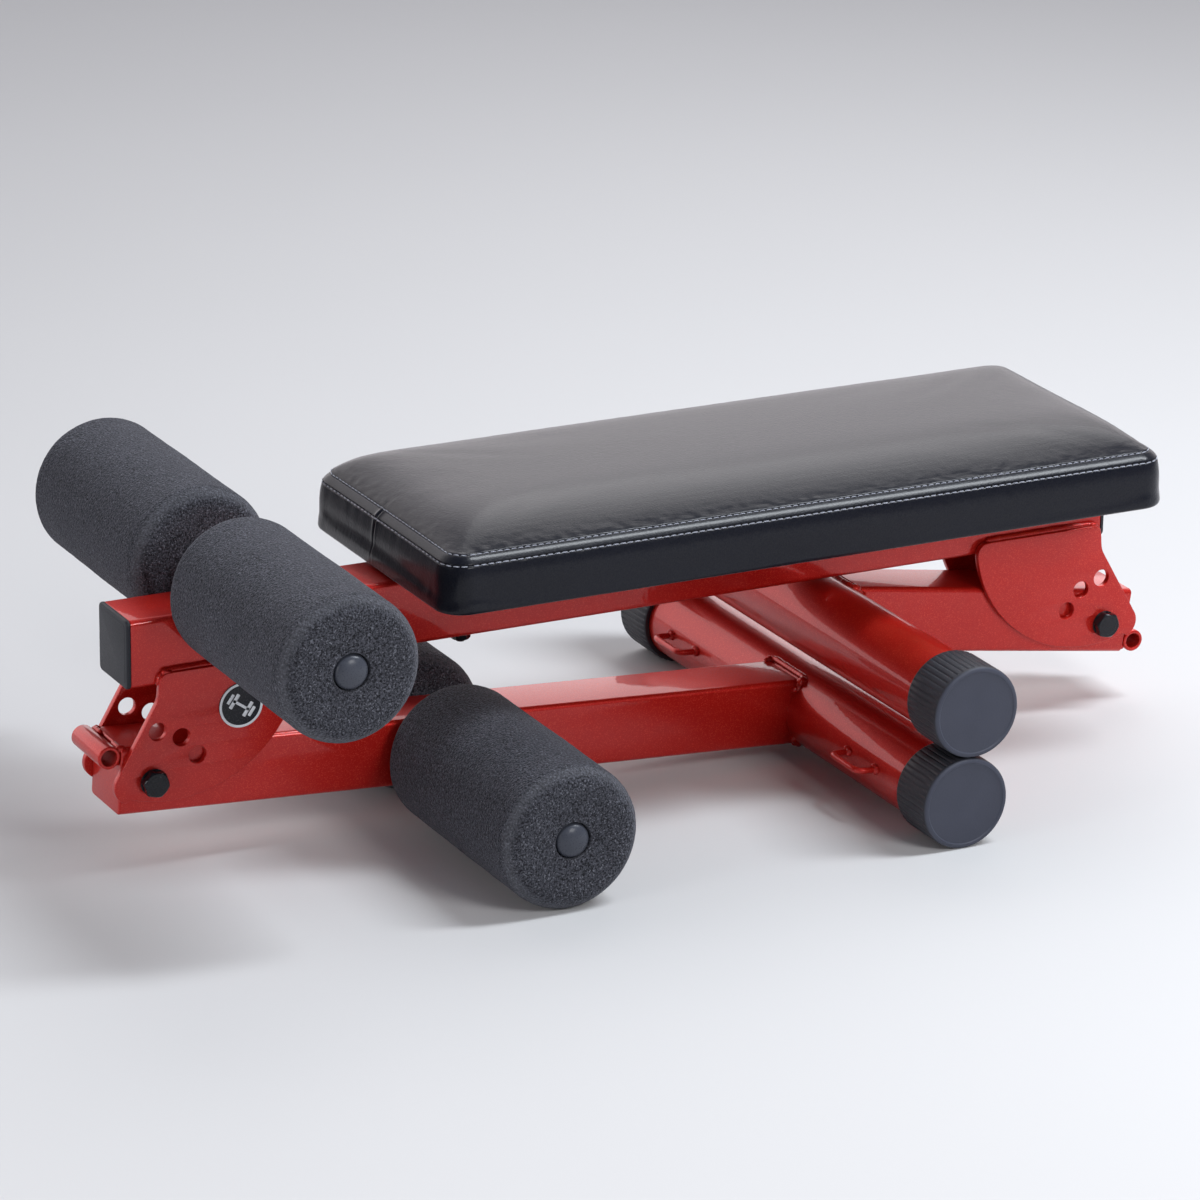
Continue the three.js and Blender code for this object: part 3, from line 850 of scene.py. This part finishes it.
def build_leg(end):
    body = f"{end}_leg"
    place = leg_place(end)
    turned_by = place.to_euler().y
    outward = -1 if end == "front" else 1
    angle = radians(180 - SLEEVE_ANGLE if end == "front" else -SLEEVE_ANGLE) + turned_by
    sleeve_x, sleeve_z = LOCK_RADIUS * cos(angle), LOCK_RADIUS * sin(angle)
    end_face = abs(sleeve_x) - SLEEVE - 0.3
    foot_end = FOOT_REACH[end] + outward * 21
    a, b = sorted((outward * end_face, foot_end))
    rims = (1.6, 0.3) if end == "front" else (0.3, 1.6)
    bar = square_bar(a, b, *rims)
    nodes = [f"{end}_leg", f"{end}_leg_end_plate"]
    painted(f"{end}_leg_tube", bar, body, nodes, place)

    sleeve = lathe([
        (SLEEVE_BORE, -HALF_BOX + 1, 0), (SLEEVE_BORE, -HALF_BOX, 0.7), (SLEEVE, -HALF_BOX, 1.2),
        (SLEEVE, HALF_BOX, 1.2), (SLEEVE_BORE, HALF_BOX, 0.7), (SLEEVE_BORE, HALF_BOX - 1, 0),
        (SLEEVE_BORE, -HALF_BOX + 1, 0),
    ], 56)
    moved(sleeve, sleeve_x, 0, sleeve_z)
    painted(f"{end}_pin_sleeve", sleeve, body, [f"{end}_lock_sleeve"], place)

    span = HALF_BOX - 2.5
    face = outward * (end_face + 0.8)
    lift = copysign(SLEEVE - 2.6, sleeve_z)
    beads = []
    for way in (-1, 1):
        for z in (sleeve_z + lift, sleeve_z - lift):
            beads.append(weld_bead([(face, way * span, z), (face, way * (span - 13), z)], 2.2))
        at = (outward * (end_face - 0.5), way * (HALF_BOX - 3.3), sleeve_z + lift * 0.9)
        beads.append(weld_blob(at, 3.1, (1.2, 0.9, 0.9)))
    painted(f"{end}_sleeve_weld", join_meshes(beads), body, (), place)
    build_foot(end, place)


def build_hooks():
    place = leg_place("front")
    rise = 2.0
    reach = FOOT_REACH["front"]
    root = reach - FOOT_TUBE + 1.5
    tip = reach - FOOT_TUBE - 0.3 - HOOK_REACH
    half = HOOK_WIDTH / 2
    corner = tip + HOOK_CORNER
    weld_x = reach - FOOT_TUBE - 0.4
    lumps = (
        ((0.0, 0.0, 0.0), 4.0, (0.75, 1.0, 1.0)),
        ((-0.6, 1.2, 2.4), 2.5, (0.9, 1.1, 0.8)),
        ((-0.4, -1.6, 1.8), 2.2, (0.9, 1.0, 0.8)),
    )
    for side, way in SIDES:
        y = way * HOOK_Y
        path = [(root, y - half, rise)]
        path += bend((corner, y - half, rise), (tip, y - half, rise), (tip, y - half + HOOK_CORNER, rise))
        path += bend((tip, y + half - HOOK_CORNER, rise), (tip, y + half, rise), (corner, y + half, rise))
        path.append((root, y + half, rise))
        loop = swept(resampled(path, 1.2), HOOK_ROD, 20)
        node = f"band_hook_{side}"
        painted(f"hook_{side}", loop, "front_leg", [node], place)
        blobs = []
        for foot in (-half, half):
            for (dx, dy, dz), size, squash in lumps:
                blobs.append(weld_blob((weld_x + dx, y + foot + dy, rise + dz), size, squash))
        welds = join_meshes(blobs)
        painted(f"hook_weld_{side}", welds, "front_leg", (), place)


# ---------------------------------------------------------------- rollers


def foam_sleeve():
    """A foam roller on the +Y side, a little uneven as cut foam is."""
    low, high = box_mm("knee_roller_right")
    inner, outer = low.y, high.y
    body_rows = 40
    start, stop = inner + 15, outer - 15
    # One end from the bore outwards: radius, depth below the end and rounding.
    end = [(ROLLER_BORE, 3.0, 0), (ROLLER_BORE + 0.6, 1.6, 0.8)]
    end += [(24, 0.9, 3), (38.5, 0.1, 3.5), (ROLLER, 0, 13.5)]
    outline = [(radius, inner + depth, corner) for radius, depth, corner in end]
    outline += [(ROLLER, start + (stop - start) * k / body_rows, 0) for k in range(body_rows + 1)]
    outline += [(radius, outer - depth, corner) for radius, depth, corner in reversed(end)]
    outline.append(outline[0])
    mesh = lathe(rounded(outline, steps=9), 160)
    for v in mesh.vertices:
        radius = hypot(v.co.x, v.co.z)
        if radius < ROLLER_BORE + 2:
            continue
        broad = noise.noise(v.co * 0.035) * 0.35
        fine = noise.noise(v.co * 0.30) * 0.16
        settled = 0.4
        scale = (radius - settled + broad + fine) / radius
        v.co.x *= scale
        v.co.z *= scale
    return mesh


def axle_plug():
    base = box_mm("knee_axle")[1].y
    rim = base + 1.9
    stem = AXLE - 2.4
    corners = [(0, base - 8, 0), (stem, base - 8, 0), (stem, base, 0), (AXLE, base, 0.3), (AXLE, rim, 0)]
    dome = rounded(corners, steps=4)
    height = 6.6
    steps = 12
    for k in range(1, steps + 1):
        angle = pi / 2 * k / steps
        dome.append((AXLE * cos(angle) ** 0.9 if k < steps else 0, rim + height * sin(angle)))
    return lathe(dome, 72)


def build_rollers(name, body):
    centre = middle(f"{name}_axle_hub")
    at = Matrix.Translation((centre.x, 0, centre.z))
    hub = lathe([
        (HUB_BORE, -HALF_BOX, 0), (HUB, -HALF_BOX, 0.6), (HUB, HALF_BOX, 0.6),
        (HUB_BORE, HALF_BOX, 0), (HUB_BORE, -HALF_BOX, 0),
    ], 72)
    painted(f"{name}_hub", hub, body, [f"{name}_axle_hub"], at)
    end = box_mm(f"{name}_axle")[1].y
    rod = lathe([(0, -end), (AXLE, -end), (AXLE, end), (0, end)], 64)
    piece(f"{name}_axle_tube", rod, ZINC, body, "zinc_steel", [f"{name}_axle"], at)
    for side, way in SIDES:
        plug, sleeve = axle_plug(), foam_sleeve()
        if way < 0:
            mirrored(plug)
            mirrored(sleeve)
        node = f"{name}_axle_plug_{side}"
        piece(f"{name}_plug_{side}", plug, PLUG, body, "black_plastic", [node], at, 50)
        node = f"{name}_roller_{side}"
        roller = piece(f"{name}_foam_{side}", sleeve, FOAM, node, "roller_foam", [node], at, 60)
    if name == "knee":
        top = box_mm("main_rail")[1].z
        foot = centre.x - HUB * 0.72, centre.x + HUB * 0.72
        beads = [weld_bead([(x, -23.5, top + 1.2), (x, 23.5, top + 1.2)], 3.2) for x in foot]
        painted("knee_hub_weld", join_meshes(beads), body)
    else:
        rings = []
        for way in (-1, 1):
            y = way * (HALF_BOX + 0.4)
            rings.append(weld_bead([(a, y, b) for a, b in circle(HUB + 0.4)], 1.9, closed=True))
        painted("ankle_hub_weld", join_meshes(rings), body, (), at)


# ---------------------------------------------------------------- pad

PAD_LOW, PAD_HIGH = box_mm("pad")
PAD_HEIGHT = PAD_HIGH.z - PAD_LOW.z
PAD_HALF = Vector(((PAD_HIGH.x - PAD_LOW.x) / 2, (PAD_HIGH.y - PAD_LOW.y) / 2))
PAD_PLAN_CORNER = 22.0
PAD_CROWN = 17.0  # how far the stuffing lifts the middle above the upper seam
PAD_SHOULDER = {"near": 29.0, "far": 7.0, "rear": 8.0, "front": 13.0}  # in which it rises by two thirds
PAD_SEAM_TOP = PAD_HEIGHT - PAD_CROWN - 0.4  # height of the upper seam
PAD_BAND = 6.2  # how far the narrow band between the two seams leans in
PAD_BAND_RISE = 5.4  # and how far it rises
PAD_BOTTOM_EDGE = 4.0
PAD_LEAN = 2.2  # how far the side leans in where it meets the lower seam
PAD_LEAN_RUN = 15.0  # the height below the seam in which it does so
PAD_SHRINK = 0.5  # the cover starts this much inside its box
END_SEAM_Y = 8.0
SEAM_LOW = -0.4  # profile distances, from where the side meets the band
SEAM_HIGH = hypot(PAD_BAND, PAD_BAND_RISE) + 0.2
PAD_TOP_SWELL = 2.2  # most that the cloth pressure lifts the top
PAD_SIDE_SWELL = 1.0  # and pushes out a side
PAD_END_PULL = {"rear": 4.0, "front": 0.8}  # how far an end draws in at its middle

# Small folds that run down from the lower seam on the near side: place, lean and length.
SIDE_WRINKLES = ((96.0, -1.6, 8.0), (-118.0, 1.1, 6.0))


def perimeter_parts():
    """(side or corner, position) of each column of the pad's mesh, in order round the pad."""
    long_steps, short_steps, corner_steps = 250, 86, 12
    length = [k / long_steps * 2 - 1 for k in range(long_steps)]
    width = [k / short_steps * 2 - 1 for k in range(short_steps)]
    half = PAD_HALF.y - PAD_PLAN_CORNER
    by_seam = [(END_SEAM_Y + k * 0.5) / half for k in range(-8, 9)]
    front = [t for t in width if abs(t * half - END_SEAM_Y) > 4.4] + by_seam
    sides = {"near": length, "rear": width, "far": length, "front": sorted(-t for t in front)}
    parts = []
    for index, (side, places) in enumerate(sides.items()):
        parts += [(side, t) for t in places]
        parts += [(f"corner{index}", k / corner_steps) for k in range(corner_steps)]
    return parts


def plan_point(part, inset):
    """Where a column lies in plan at an inset from the outline, and which way is out."""
    kind, t = part
    a, b = PAD_HALF.x - inset, PAD_HALF.y - inset
    r = max(PAD_PLAN_CORNER - inset, 0.0)
    x, y = a - r, b - r
    if kind == "near":
        return Vector((x * t, -b)), Vector((0, -1))
    if kind == "rear":
        return Vector((a, y * t)), Vector((1, 0))
    if kind == "far":
        return Vector((-x * t, b)), Vector((0, 1))
    if kind == "front":
        return Vector((-a, -y * t)), Vector((-1, 0))
    index = int(kind[-1])
    centre = Vector(((x, -y), (x, y), (-x, y), (-x, -y))[index])
    angle = radians(-90 + 90 * index + 90 * t)
    out = Vector((cos(angle), sin(angle)))
    return centre + out * r, out


def crown(side, inset):
    """Height that the stuffing adds at a distance from one side of the pad."""
    span = (PAD_HALF.x if side in ("front", "rear") else PAD_HALF.y) - PAD_LEAN - PAD_BAND
    left = 1 - min(max(inset - PAD_LEAN - PAD_BAND, 0.0) / span, 1.0)
    return PAD_CROWN * (1 - left ** (span / PAD_SHOULDER[side]))


def pad_profile():
    """(inset, height, outward, up, distance) rows from the bottom's middle to the top's."""
    rows = []
    for inset in (PAD_HALF.y, 100, 75, 50, 30, 18, 10, 6):
        rows.append((inset, 0.0, 0.0, -1.0, -80.0 - inset))
    edge_steps = 5
    for k in range(edge_steps + 1):
        angle = pi / 2 * k / edge_steps
        inset = PAD_BOTTOM_EDGE * (1 - sin(angle))
        height = PAD_BOTTOM_EDGE * (1 - cos(angle))
        rows.append((inset, height, sin(angle), -cos(angle), height - 60))
    side_top = PAD_SEAM_TOP - PAD_BAND_RISE
    height = PAD_BOTTOM_EDGE + 3
    while height < side_top - 0.2:
        below = height - side_top
        lean = max(0.0, 1 + below / PAD_LEAN_RUN)
        tilt = atan(2 * PAD_LEAN * lean / PAD_LEAN_RUN)
        rows.append((PAD_LEAN * lean * lean, height, cos(tilt), sin(tilt), below))
        height += 2.6 if below < -18 else (1.2 if below < -6 else 0.45)
    count = 20
    length = hypot(PAD_BAND, PAD_BAND_RISE)
    for k in range(count + 1):
        part = k / count
        tilt = radians(36 + 26 * part)
        inset = PAD_LEAN + PAD_BAND * part
        rows.append((inset, side_top + PAD_BAND_RISE * part, cos(tilt), sin(tilt), length * part))
    edge = PAD_LEAN + PAD_BAND
    inset = edge + 0.5
    while inset < PAD_HALF.y - 1.5:
        rows.append((inset, PAD_SEAM_TOP, 0.0, 1.0, length + inset - edge))
        inset += 0.5 if inset < 16 else (1.6 if inset < 40 else 2.6)
    rows.append((PAD_HALF.y, PAD_SEAM_TOP, 0.0, 1.0, length + PAD_HALF.y - edge))
    return rows


def groove(distance, width, depth):
    return -depth * exp(-((distance / width) ** 2))


def seam_offset(distance, part, at):
    """How far the cover stands out from the plain slab, for its seams, band and puckers."""
    kind, _ = part
    offset = groove(distance - SEAM_LOW, 0.75, 0.9) + groove(distance - SEAM_HIGH, 0.65, 1.0)
    if SEAM_LOW < distance < SEAM_HIGH:
        along = (distance - SEAM_LOW) / (SEAM_HIGH - SEAM_LOW)
        offset += 0.55 * sin(pi * along) ** 0.8
    if distance > SEAM_HIGH:
        depth = exp(-(distance - SEAM_HIGH) / 10.0)
        gather = noise.noise(Vector((at.x * 0.16, at.y * 0.16, 3.0)))
        fine = noise.noise(Vector((at.x * 0.45, at.y * 0.45, 5.0)))
        offset += depth * (0.45 * gather + 0.20 * fine)
    if -40 < distance < SEAM_LOW:
        depth = exp((distance - SEAM_LOW) / 7.0)
        offset += 0.35 * depth * noise.noise(Vector((at.x * 0.13, at.y * 0.13, 9.0)))
        for x, lean, length in SIDE_WRINKLES:
            away = at.x - x - lean * (distance - SEAM_LOW)
            fade = exp((distance - SEAM_LOW) / length)
            offset += groove(away, 1.3, 0.45 * fade) if kind == "near" else 0.0
    if kind == "front" and -50 < distance < SEAM_HIGH:
        away = at.y - END_SEAM_Y
        upper = exp(min(distance - SEAM_LOW, 0.0) / 9.0)
        offset += groove(away, 0.8, 0.12 + 0.75 * upper)
        offset += (0.06 + 0.6 * upper) * exp(-(((abs(away) - 2.6) / 1.5) ** 2))
    return offset


def stuffed(mesh_verts, faces):
    """Cloth pressure on a coarse copy of the cover; returns where it was and how it moved."""
    source = mesh_of(mesh_verts, faces)
    source.transform(Matrix.Scale(MM, 4))
    weld(source, 0.01 * MM)
    holder = add_object("cover_start", source)
    remesh = holder.modifiers.new("remesh", "REMESH")
    remesh.mode = "VOXEL"
    remesh.voxel_size = 6 * MM
    view = bpy.context.evaluated_depsgraph_get()
    coarse = bpy.data.meshes.new_from_object(holder.evaluated_get(view))
    bpy.data.objects.remove(holder)
    cover = add_object("cover", coarse)
    rest = [v.co.copy() for v in coarse.vertices]
    lowest = min(p.z for p in rest)
    held = cover.vertex_groups.new(name="held")
    held.add([i for i, p in enumerate(rest) if p.z < lowest + 8 * MM], 1.0, "REPLACE")
    cloth = cover.modifiers.new("cloth", "CLOTH")
    cloth.settings.vertex_group_mass = "held"
    cloth.settings.use_pressure = True
    cloth.settings.uniform_pressure_force = 4.0
    cloth.settings.effector_weights.gravity = 0.0
    cloth.settings.quality = 5
    frames = 20
    cloth.point_cache.frame_start, cloth.point_cache.frame_end = 1, frames
    scene = bpy.context.scene
    for step in range(1, frames + 1):
        scene.frame_set(step)
    view = bpy.context.evaluated_depsgraph_get()
    puffed = cover.evaluated_get(view).to_mesh()
    moves = [puffed.vertices[i].co - p for i, p in enumerate(rest)]
    scene.frame_set(1)
    bpy.data.objects.remove(cover)
    return rest, moves


def settle(rest, moves, points):
    """Carries the coarse cover's movement over to fine points, in millimetres."""
    tree = KDTree(len(rest))
    for i, p in enumerate(rest):
        tree.insert(p / MM, i)
    tree.balance()
    out = []
    neighbours = 7
    for p in points:
        total, shift = 0.0, Vector()
        for _, i, distance in tree.find_n(p, neighbours):
            weight = 1.0 / (distance * distance + 4.0)
            total += weight
            shift += moves[i] * weight
        shift /= total * MM
        out.append(shift)
    return out


def build_pad():
    parts = perimeter_parts()
    rows = pad_profile()
    base, seams = [], []
    for inset, height, outward, up, distance in rows:
        for part in parts:
            at, out = plan_point(part, min(inset + PAD_SHRINK, PAD_HALF.y))
            base.append(Vector((at.x, at.y, height)))
            stand = seam_offset(distance, part, at)
            seams.append(Vector((out.x * outward, out.y * outward, up)) * stand)
    size = len(parts)
    faces = faces_between(len(rows), size)
    shifts = settle(*stuffed(base, faces), base)
    verts = []
    most = max(s.z for s in shifts) or 1.0
    for p, shift, seam in zip(base, shifts, seams):
        flat = Vector((shift.x, shift.y, 0))
        if flat.length > PAD_SIDE_SWELL:
            flat *= PAD_SIDE_SWELL / flat.length
        inset_x, inset_y = PAD_HALF.x - abs(p.x), PAD_HALF.y - abs(p.y)
        gain = 0.0
        if p.z > PAD_SEAM_TOP - 0.01:
            across = crown("far" if p.y > 0 else "near", inset_y)
            gain = crown("rear" if p.x > 0 else "front", inset_x) * across / PAD_CROWN
        swell = max(0.0, shift.z) / most * PAD_TOP_SWELL if p.z > 8 else 0.0
        v = p + flat + Vector((0, 0, gain * (1 - PAD_TOP_SWELL / PAD_CROWN) + swell)) + seam
        pull = PAD_END_PULL["rear" if v.x > 0 else "front"] * (1 - (v.y / PAD_HALF.y) ** 2)
        pull *= min(1.0, max(0.0, (v.z - 4) / 26))
        v.x -= pull * (v.x / PAD_HALF.x) ** 5
        v.z = min(max(v.z, 0.9), PAD_HEIGHT)
        verts.append(v)
    centre = (PAD_LOW + PAD_HIGH) / 2
    place = Matrix.Translation((centre.x, centre.y, PAD_LOW.z))
    mesh = mesh_of(verts, faces)
    cover = piece("pad_cover", mesh, VINYL, "bench", "pad_vinyl", ["pad"], place, 180)

    def row_line(distance):
        row = min(range(len(rows)), key=lambda i: abs(rows[i][4] - distance))
        return verts[row * size:(row + 1) * size], rows[row]

    for name, distance, dash, gap, radius in (
        ("low", SEAM_LOW - 0.5, 4.3, 1.5, 0.50), ("high", SEAM_HIGH, 3.6, 1.8, 0.42),
    ):
        line, (_, _, outward, up, _) = row_line(distance)
        stitches = []
        even = resampled(line, (dash + gap) / 4, closed=True)
        for k in range(0, len(even) - 3, 4):
            a, mid, b = even[k], even[k + 1] * 0.5 + even[k + 2] * 0.5, even[k + 3]
            out = Vector((mid.x / PAD_HALF.x, mid.y / PAD_HALF.y, 0))
            out = Vector((out.x ** 9, out.y ** 9, 0)).normalized() * outward + Vector((0, 0, up))
            lift = out.normalized() * 0.55
            loop = [a + lift * 0.1, a.lerp(mid, 0.4) + lift, mid + lift * 1.15, mid.lerp(b, 0.6) + lift]
            loop.append(b + lift * 0.1)
            thick = (0.5, 1.0, 1.05, 1.0, 0.5)
            stitches.append(swept(loop, lambda i: radius * thick[i], 7))
        mesh = join_meshes(stitches)
        piece(f"pad_stitches_{name}", mesh, THREAD, "bench", "pad_vinyl", (), place, 60)
    build_needle_holes(row_line(SEAM_LOW + 0.9)[0], place)
    build_pad_fixings()


def build_needle_holes(line, place):
    """Pricks that the thread pulls into the cover just above the lower seam, coloured near-black as painted
    shade in the holes.
    """
    even = resampled(line, 5.8, closed=True)
    holes = []
    for k, at in enumerate(even):
        along = (even[(k + 1) % len(even)] - even[k - 1]).normalized()
        out = along.cross(Vector((0, 0, 1))).normalized()
        centre = at - out * 0.1
        hole = weld_blob((0, 0, 0), 1.0, detail=1)
        turn = Matrix((along, out, (0, 0, 1))).transposed().to_4x4()
        hole.transform(Matrix.Translation(centre) @ turn @ Matrix.Diagonal((1.35, 0.45, 0.62, 1)))
        holes.append(hole)
    mesh = join_meshes(holes)
    piece("pad_needle_holes", mesh, PAINTED_HOLE_SHADE, "bench", "pad_vinyl", (), place, 60)


def build_pad_fixings():
    bottom = box_mm("main_rail")[0].z
    steel = (BLACK_STEEL, "bench", "black_steel")
    for end in ("front", "rear"):
        centre = middle(f"pad_nut_{end}")
        low, high = box_mm(f"pad_nut_{end}")
        upright = Matrix.Translation((centre.x, 0, 0)) @ Matrix.Rotation(pi / 2, 4, "X")
        nut = skin(hex_rings(7.5, low.z, high.z, 0.9, 0.4, 0.35))
        piece(f"pad_hex_nut_{end}", nut, *steel, [f"pad_nut_{end}"], upright, 30)
        washer = lathe([
            (0, high.z + 0.3, 0), (8, high.z + 0.3, 0.3), (8, bottom, 0.3), (0, bottom, 0),
        ], 64)
        piece(f"pad_flat_washer_{end}", washer, *steel, [f"pad_washer_{end}"], upright)
        tip = box_mm(f"pad_bolt_{end}")[0].z
        tail = threaded(4.0, -(low.z + 1), -tip, 1.25, 32)
        flip = Matrix.Translation((centre.x, 0, 0)) @ Matrix.Rotation(-pi / 2, 4, "X")
        piece(f"pad_bolt_tail_{end}", tail, *steel, [f"pad_bolt_{end}"], flip, 60)


def build_staples():
    """Staples that hold the cover's edge to the underside of the board."""
    low, high = box_mm("pad_board")
    margin, pitch, half = 9.0, 24.0, 5.0
    west, east, south, north = low.x + margin, high.x - margin, low.y + margin, high.y - margin
    corners = [(west, south, low.z), (east, south, low.z), (east, north, low.z), (west, north, low.z)]
    line = resampled(corners, pitch, closed=True)
    leg = Vector((0, 0, 1))
    staples = []
    for k, at in enumerate(line):
        along = (line[(k + 1) % len(line)] - at).normalized()
        along = Matrix.Rotation(random.uniform(-0.35, 0.35), 3, "Z") @ along * half
        bent = [at - along + leg, at - along, at + along, at + along + leg]
        staples.append(swept(bent, 0.35, 8))
    piece("pad_staples", join_meshes(staples), ZINC, "bench", "zinc_steel")


# ---------------------------------------------------------------- studio


WORLD_FRONT = (0.12, 0.13, 0.16)
WORLD_BACK = (1.52, 1.45, 1.48)
WORLD_BRIGHT_WAY = (0.0, 1.0, -0.5)
WORLD_BLEND = (-0.35, 0.62)
WHITE = (1.0, 1.0, 1.0)
COOL_WHITE = (0.90, 0.95, 1.0)
LIGHTS = (  # name, place, aim, size, watts, colour
    ("back", (1.15, 1.30, 1.85), (0.1, 0, 0.2), (1.3, 1.4), 11, WHITE),
    ("strip", (1.2, -0.55, 2.2), (0.1, -0.1, 0.2), (0.40, 1.4), 54, COOL_WHITE),
    ("front", (0.5, -2.6, 1.7), (0, 0, 0.1), (0.9, 0.9), 36, WHITE),
    ("side", (-1.9, -0.55, 0.6), (-0.2, -0.1, 0.1), (0.5, 0.6), 6, WHITE),
)


def build_studio():
    bpy.ops.mesh.primitive_grid_add(x_subdivisions=8, y_subdivisions=8, size=60, location=(0, 0, 0))
    ground = bpy.context.object
    ground.name = "floor"
    ground.data.materials.append(FLOOR)
    world = bpy.data.worlds.new("studio")
    bpy.context.scene.world = world
    world.use_nodes = True
    nodes = Nodes(world.node_tree)
    where = nodes.node("TexCoord").outputs["Generated"]
    lean = nodes.node("VectorMath", {0: where, 1: WORLD_BRIGHT_WAY}, operation="DOT_PRODUCT").outputs["Value"]
    limits = {"Value": lean, "From Min": WORLD_BLEND[0], "From Max": WORLD_BLEND[1]}
    spread = nodes.node("MapRange", limits, interpolation_type="SMOOTHSTEP").outputs["Result"]
    background = nodes.tree.nodes["Background"].inputs["Color"]
    nodes.put(background, nodes.mix(spread, WORLD_FRONT, WORLD_BACK))
    for name, place, aim, size, power, colour in LIGHTS:
        data = bpy.data.lights.new(name, "AREA")
        data.shape = "RECTANGLE"
        data.size, data.size_y = size
        data.energy = power
        data.color = colour
        lamp = add_object(name, data)
        lamp.location = place
        lamp.rotation_mode = "QUATERNION"
        lamp.rotation_quaternion = (Vector(aim) - Vector(place)).to_track_quat("-Z", "Y")
    bpy.context.scene.view_settings.view_transform = "Standard"


# ---------------------------------------------------------------- assembly

build_rail()
build_bracket("front", 1)
build_bracket("rear", -1)
build_badge()
build_leg("front")
build_leg("rear")
build_hooks()
build_rollers("knee", "bench")
build_rollers("ankle", "front_leg")
build_pad()
build_staples()

CAD_LOOKS = {"pad_board": PLYWOOD, "front_pivot_bushing": ZINC, "rear_pivot_bushing": ZINC}
for node, material in CAD_LOOKS.items():
    data = frame["nodes"][node].data
    data.materials.clear()
    data.materials.append(material)

build_studio()
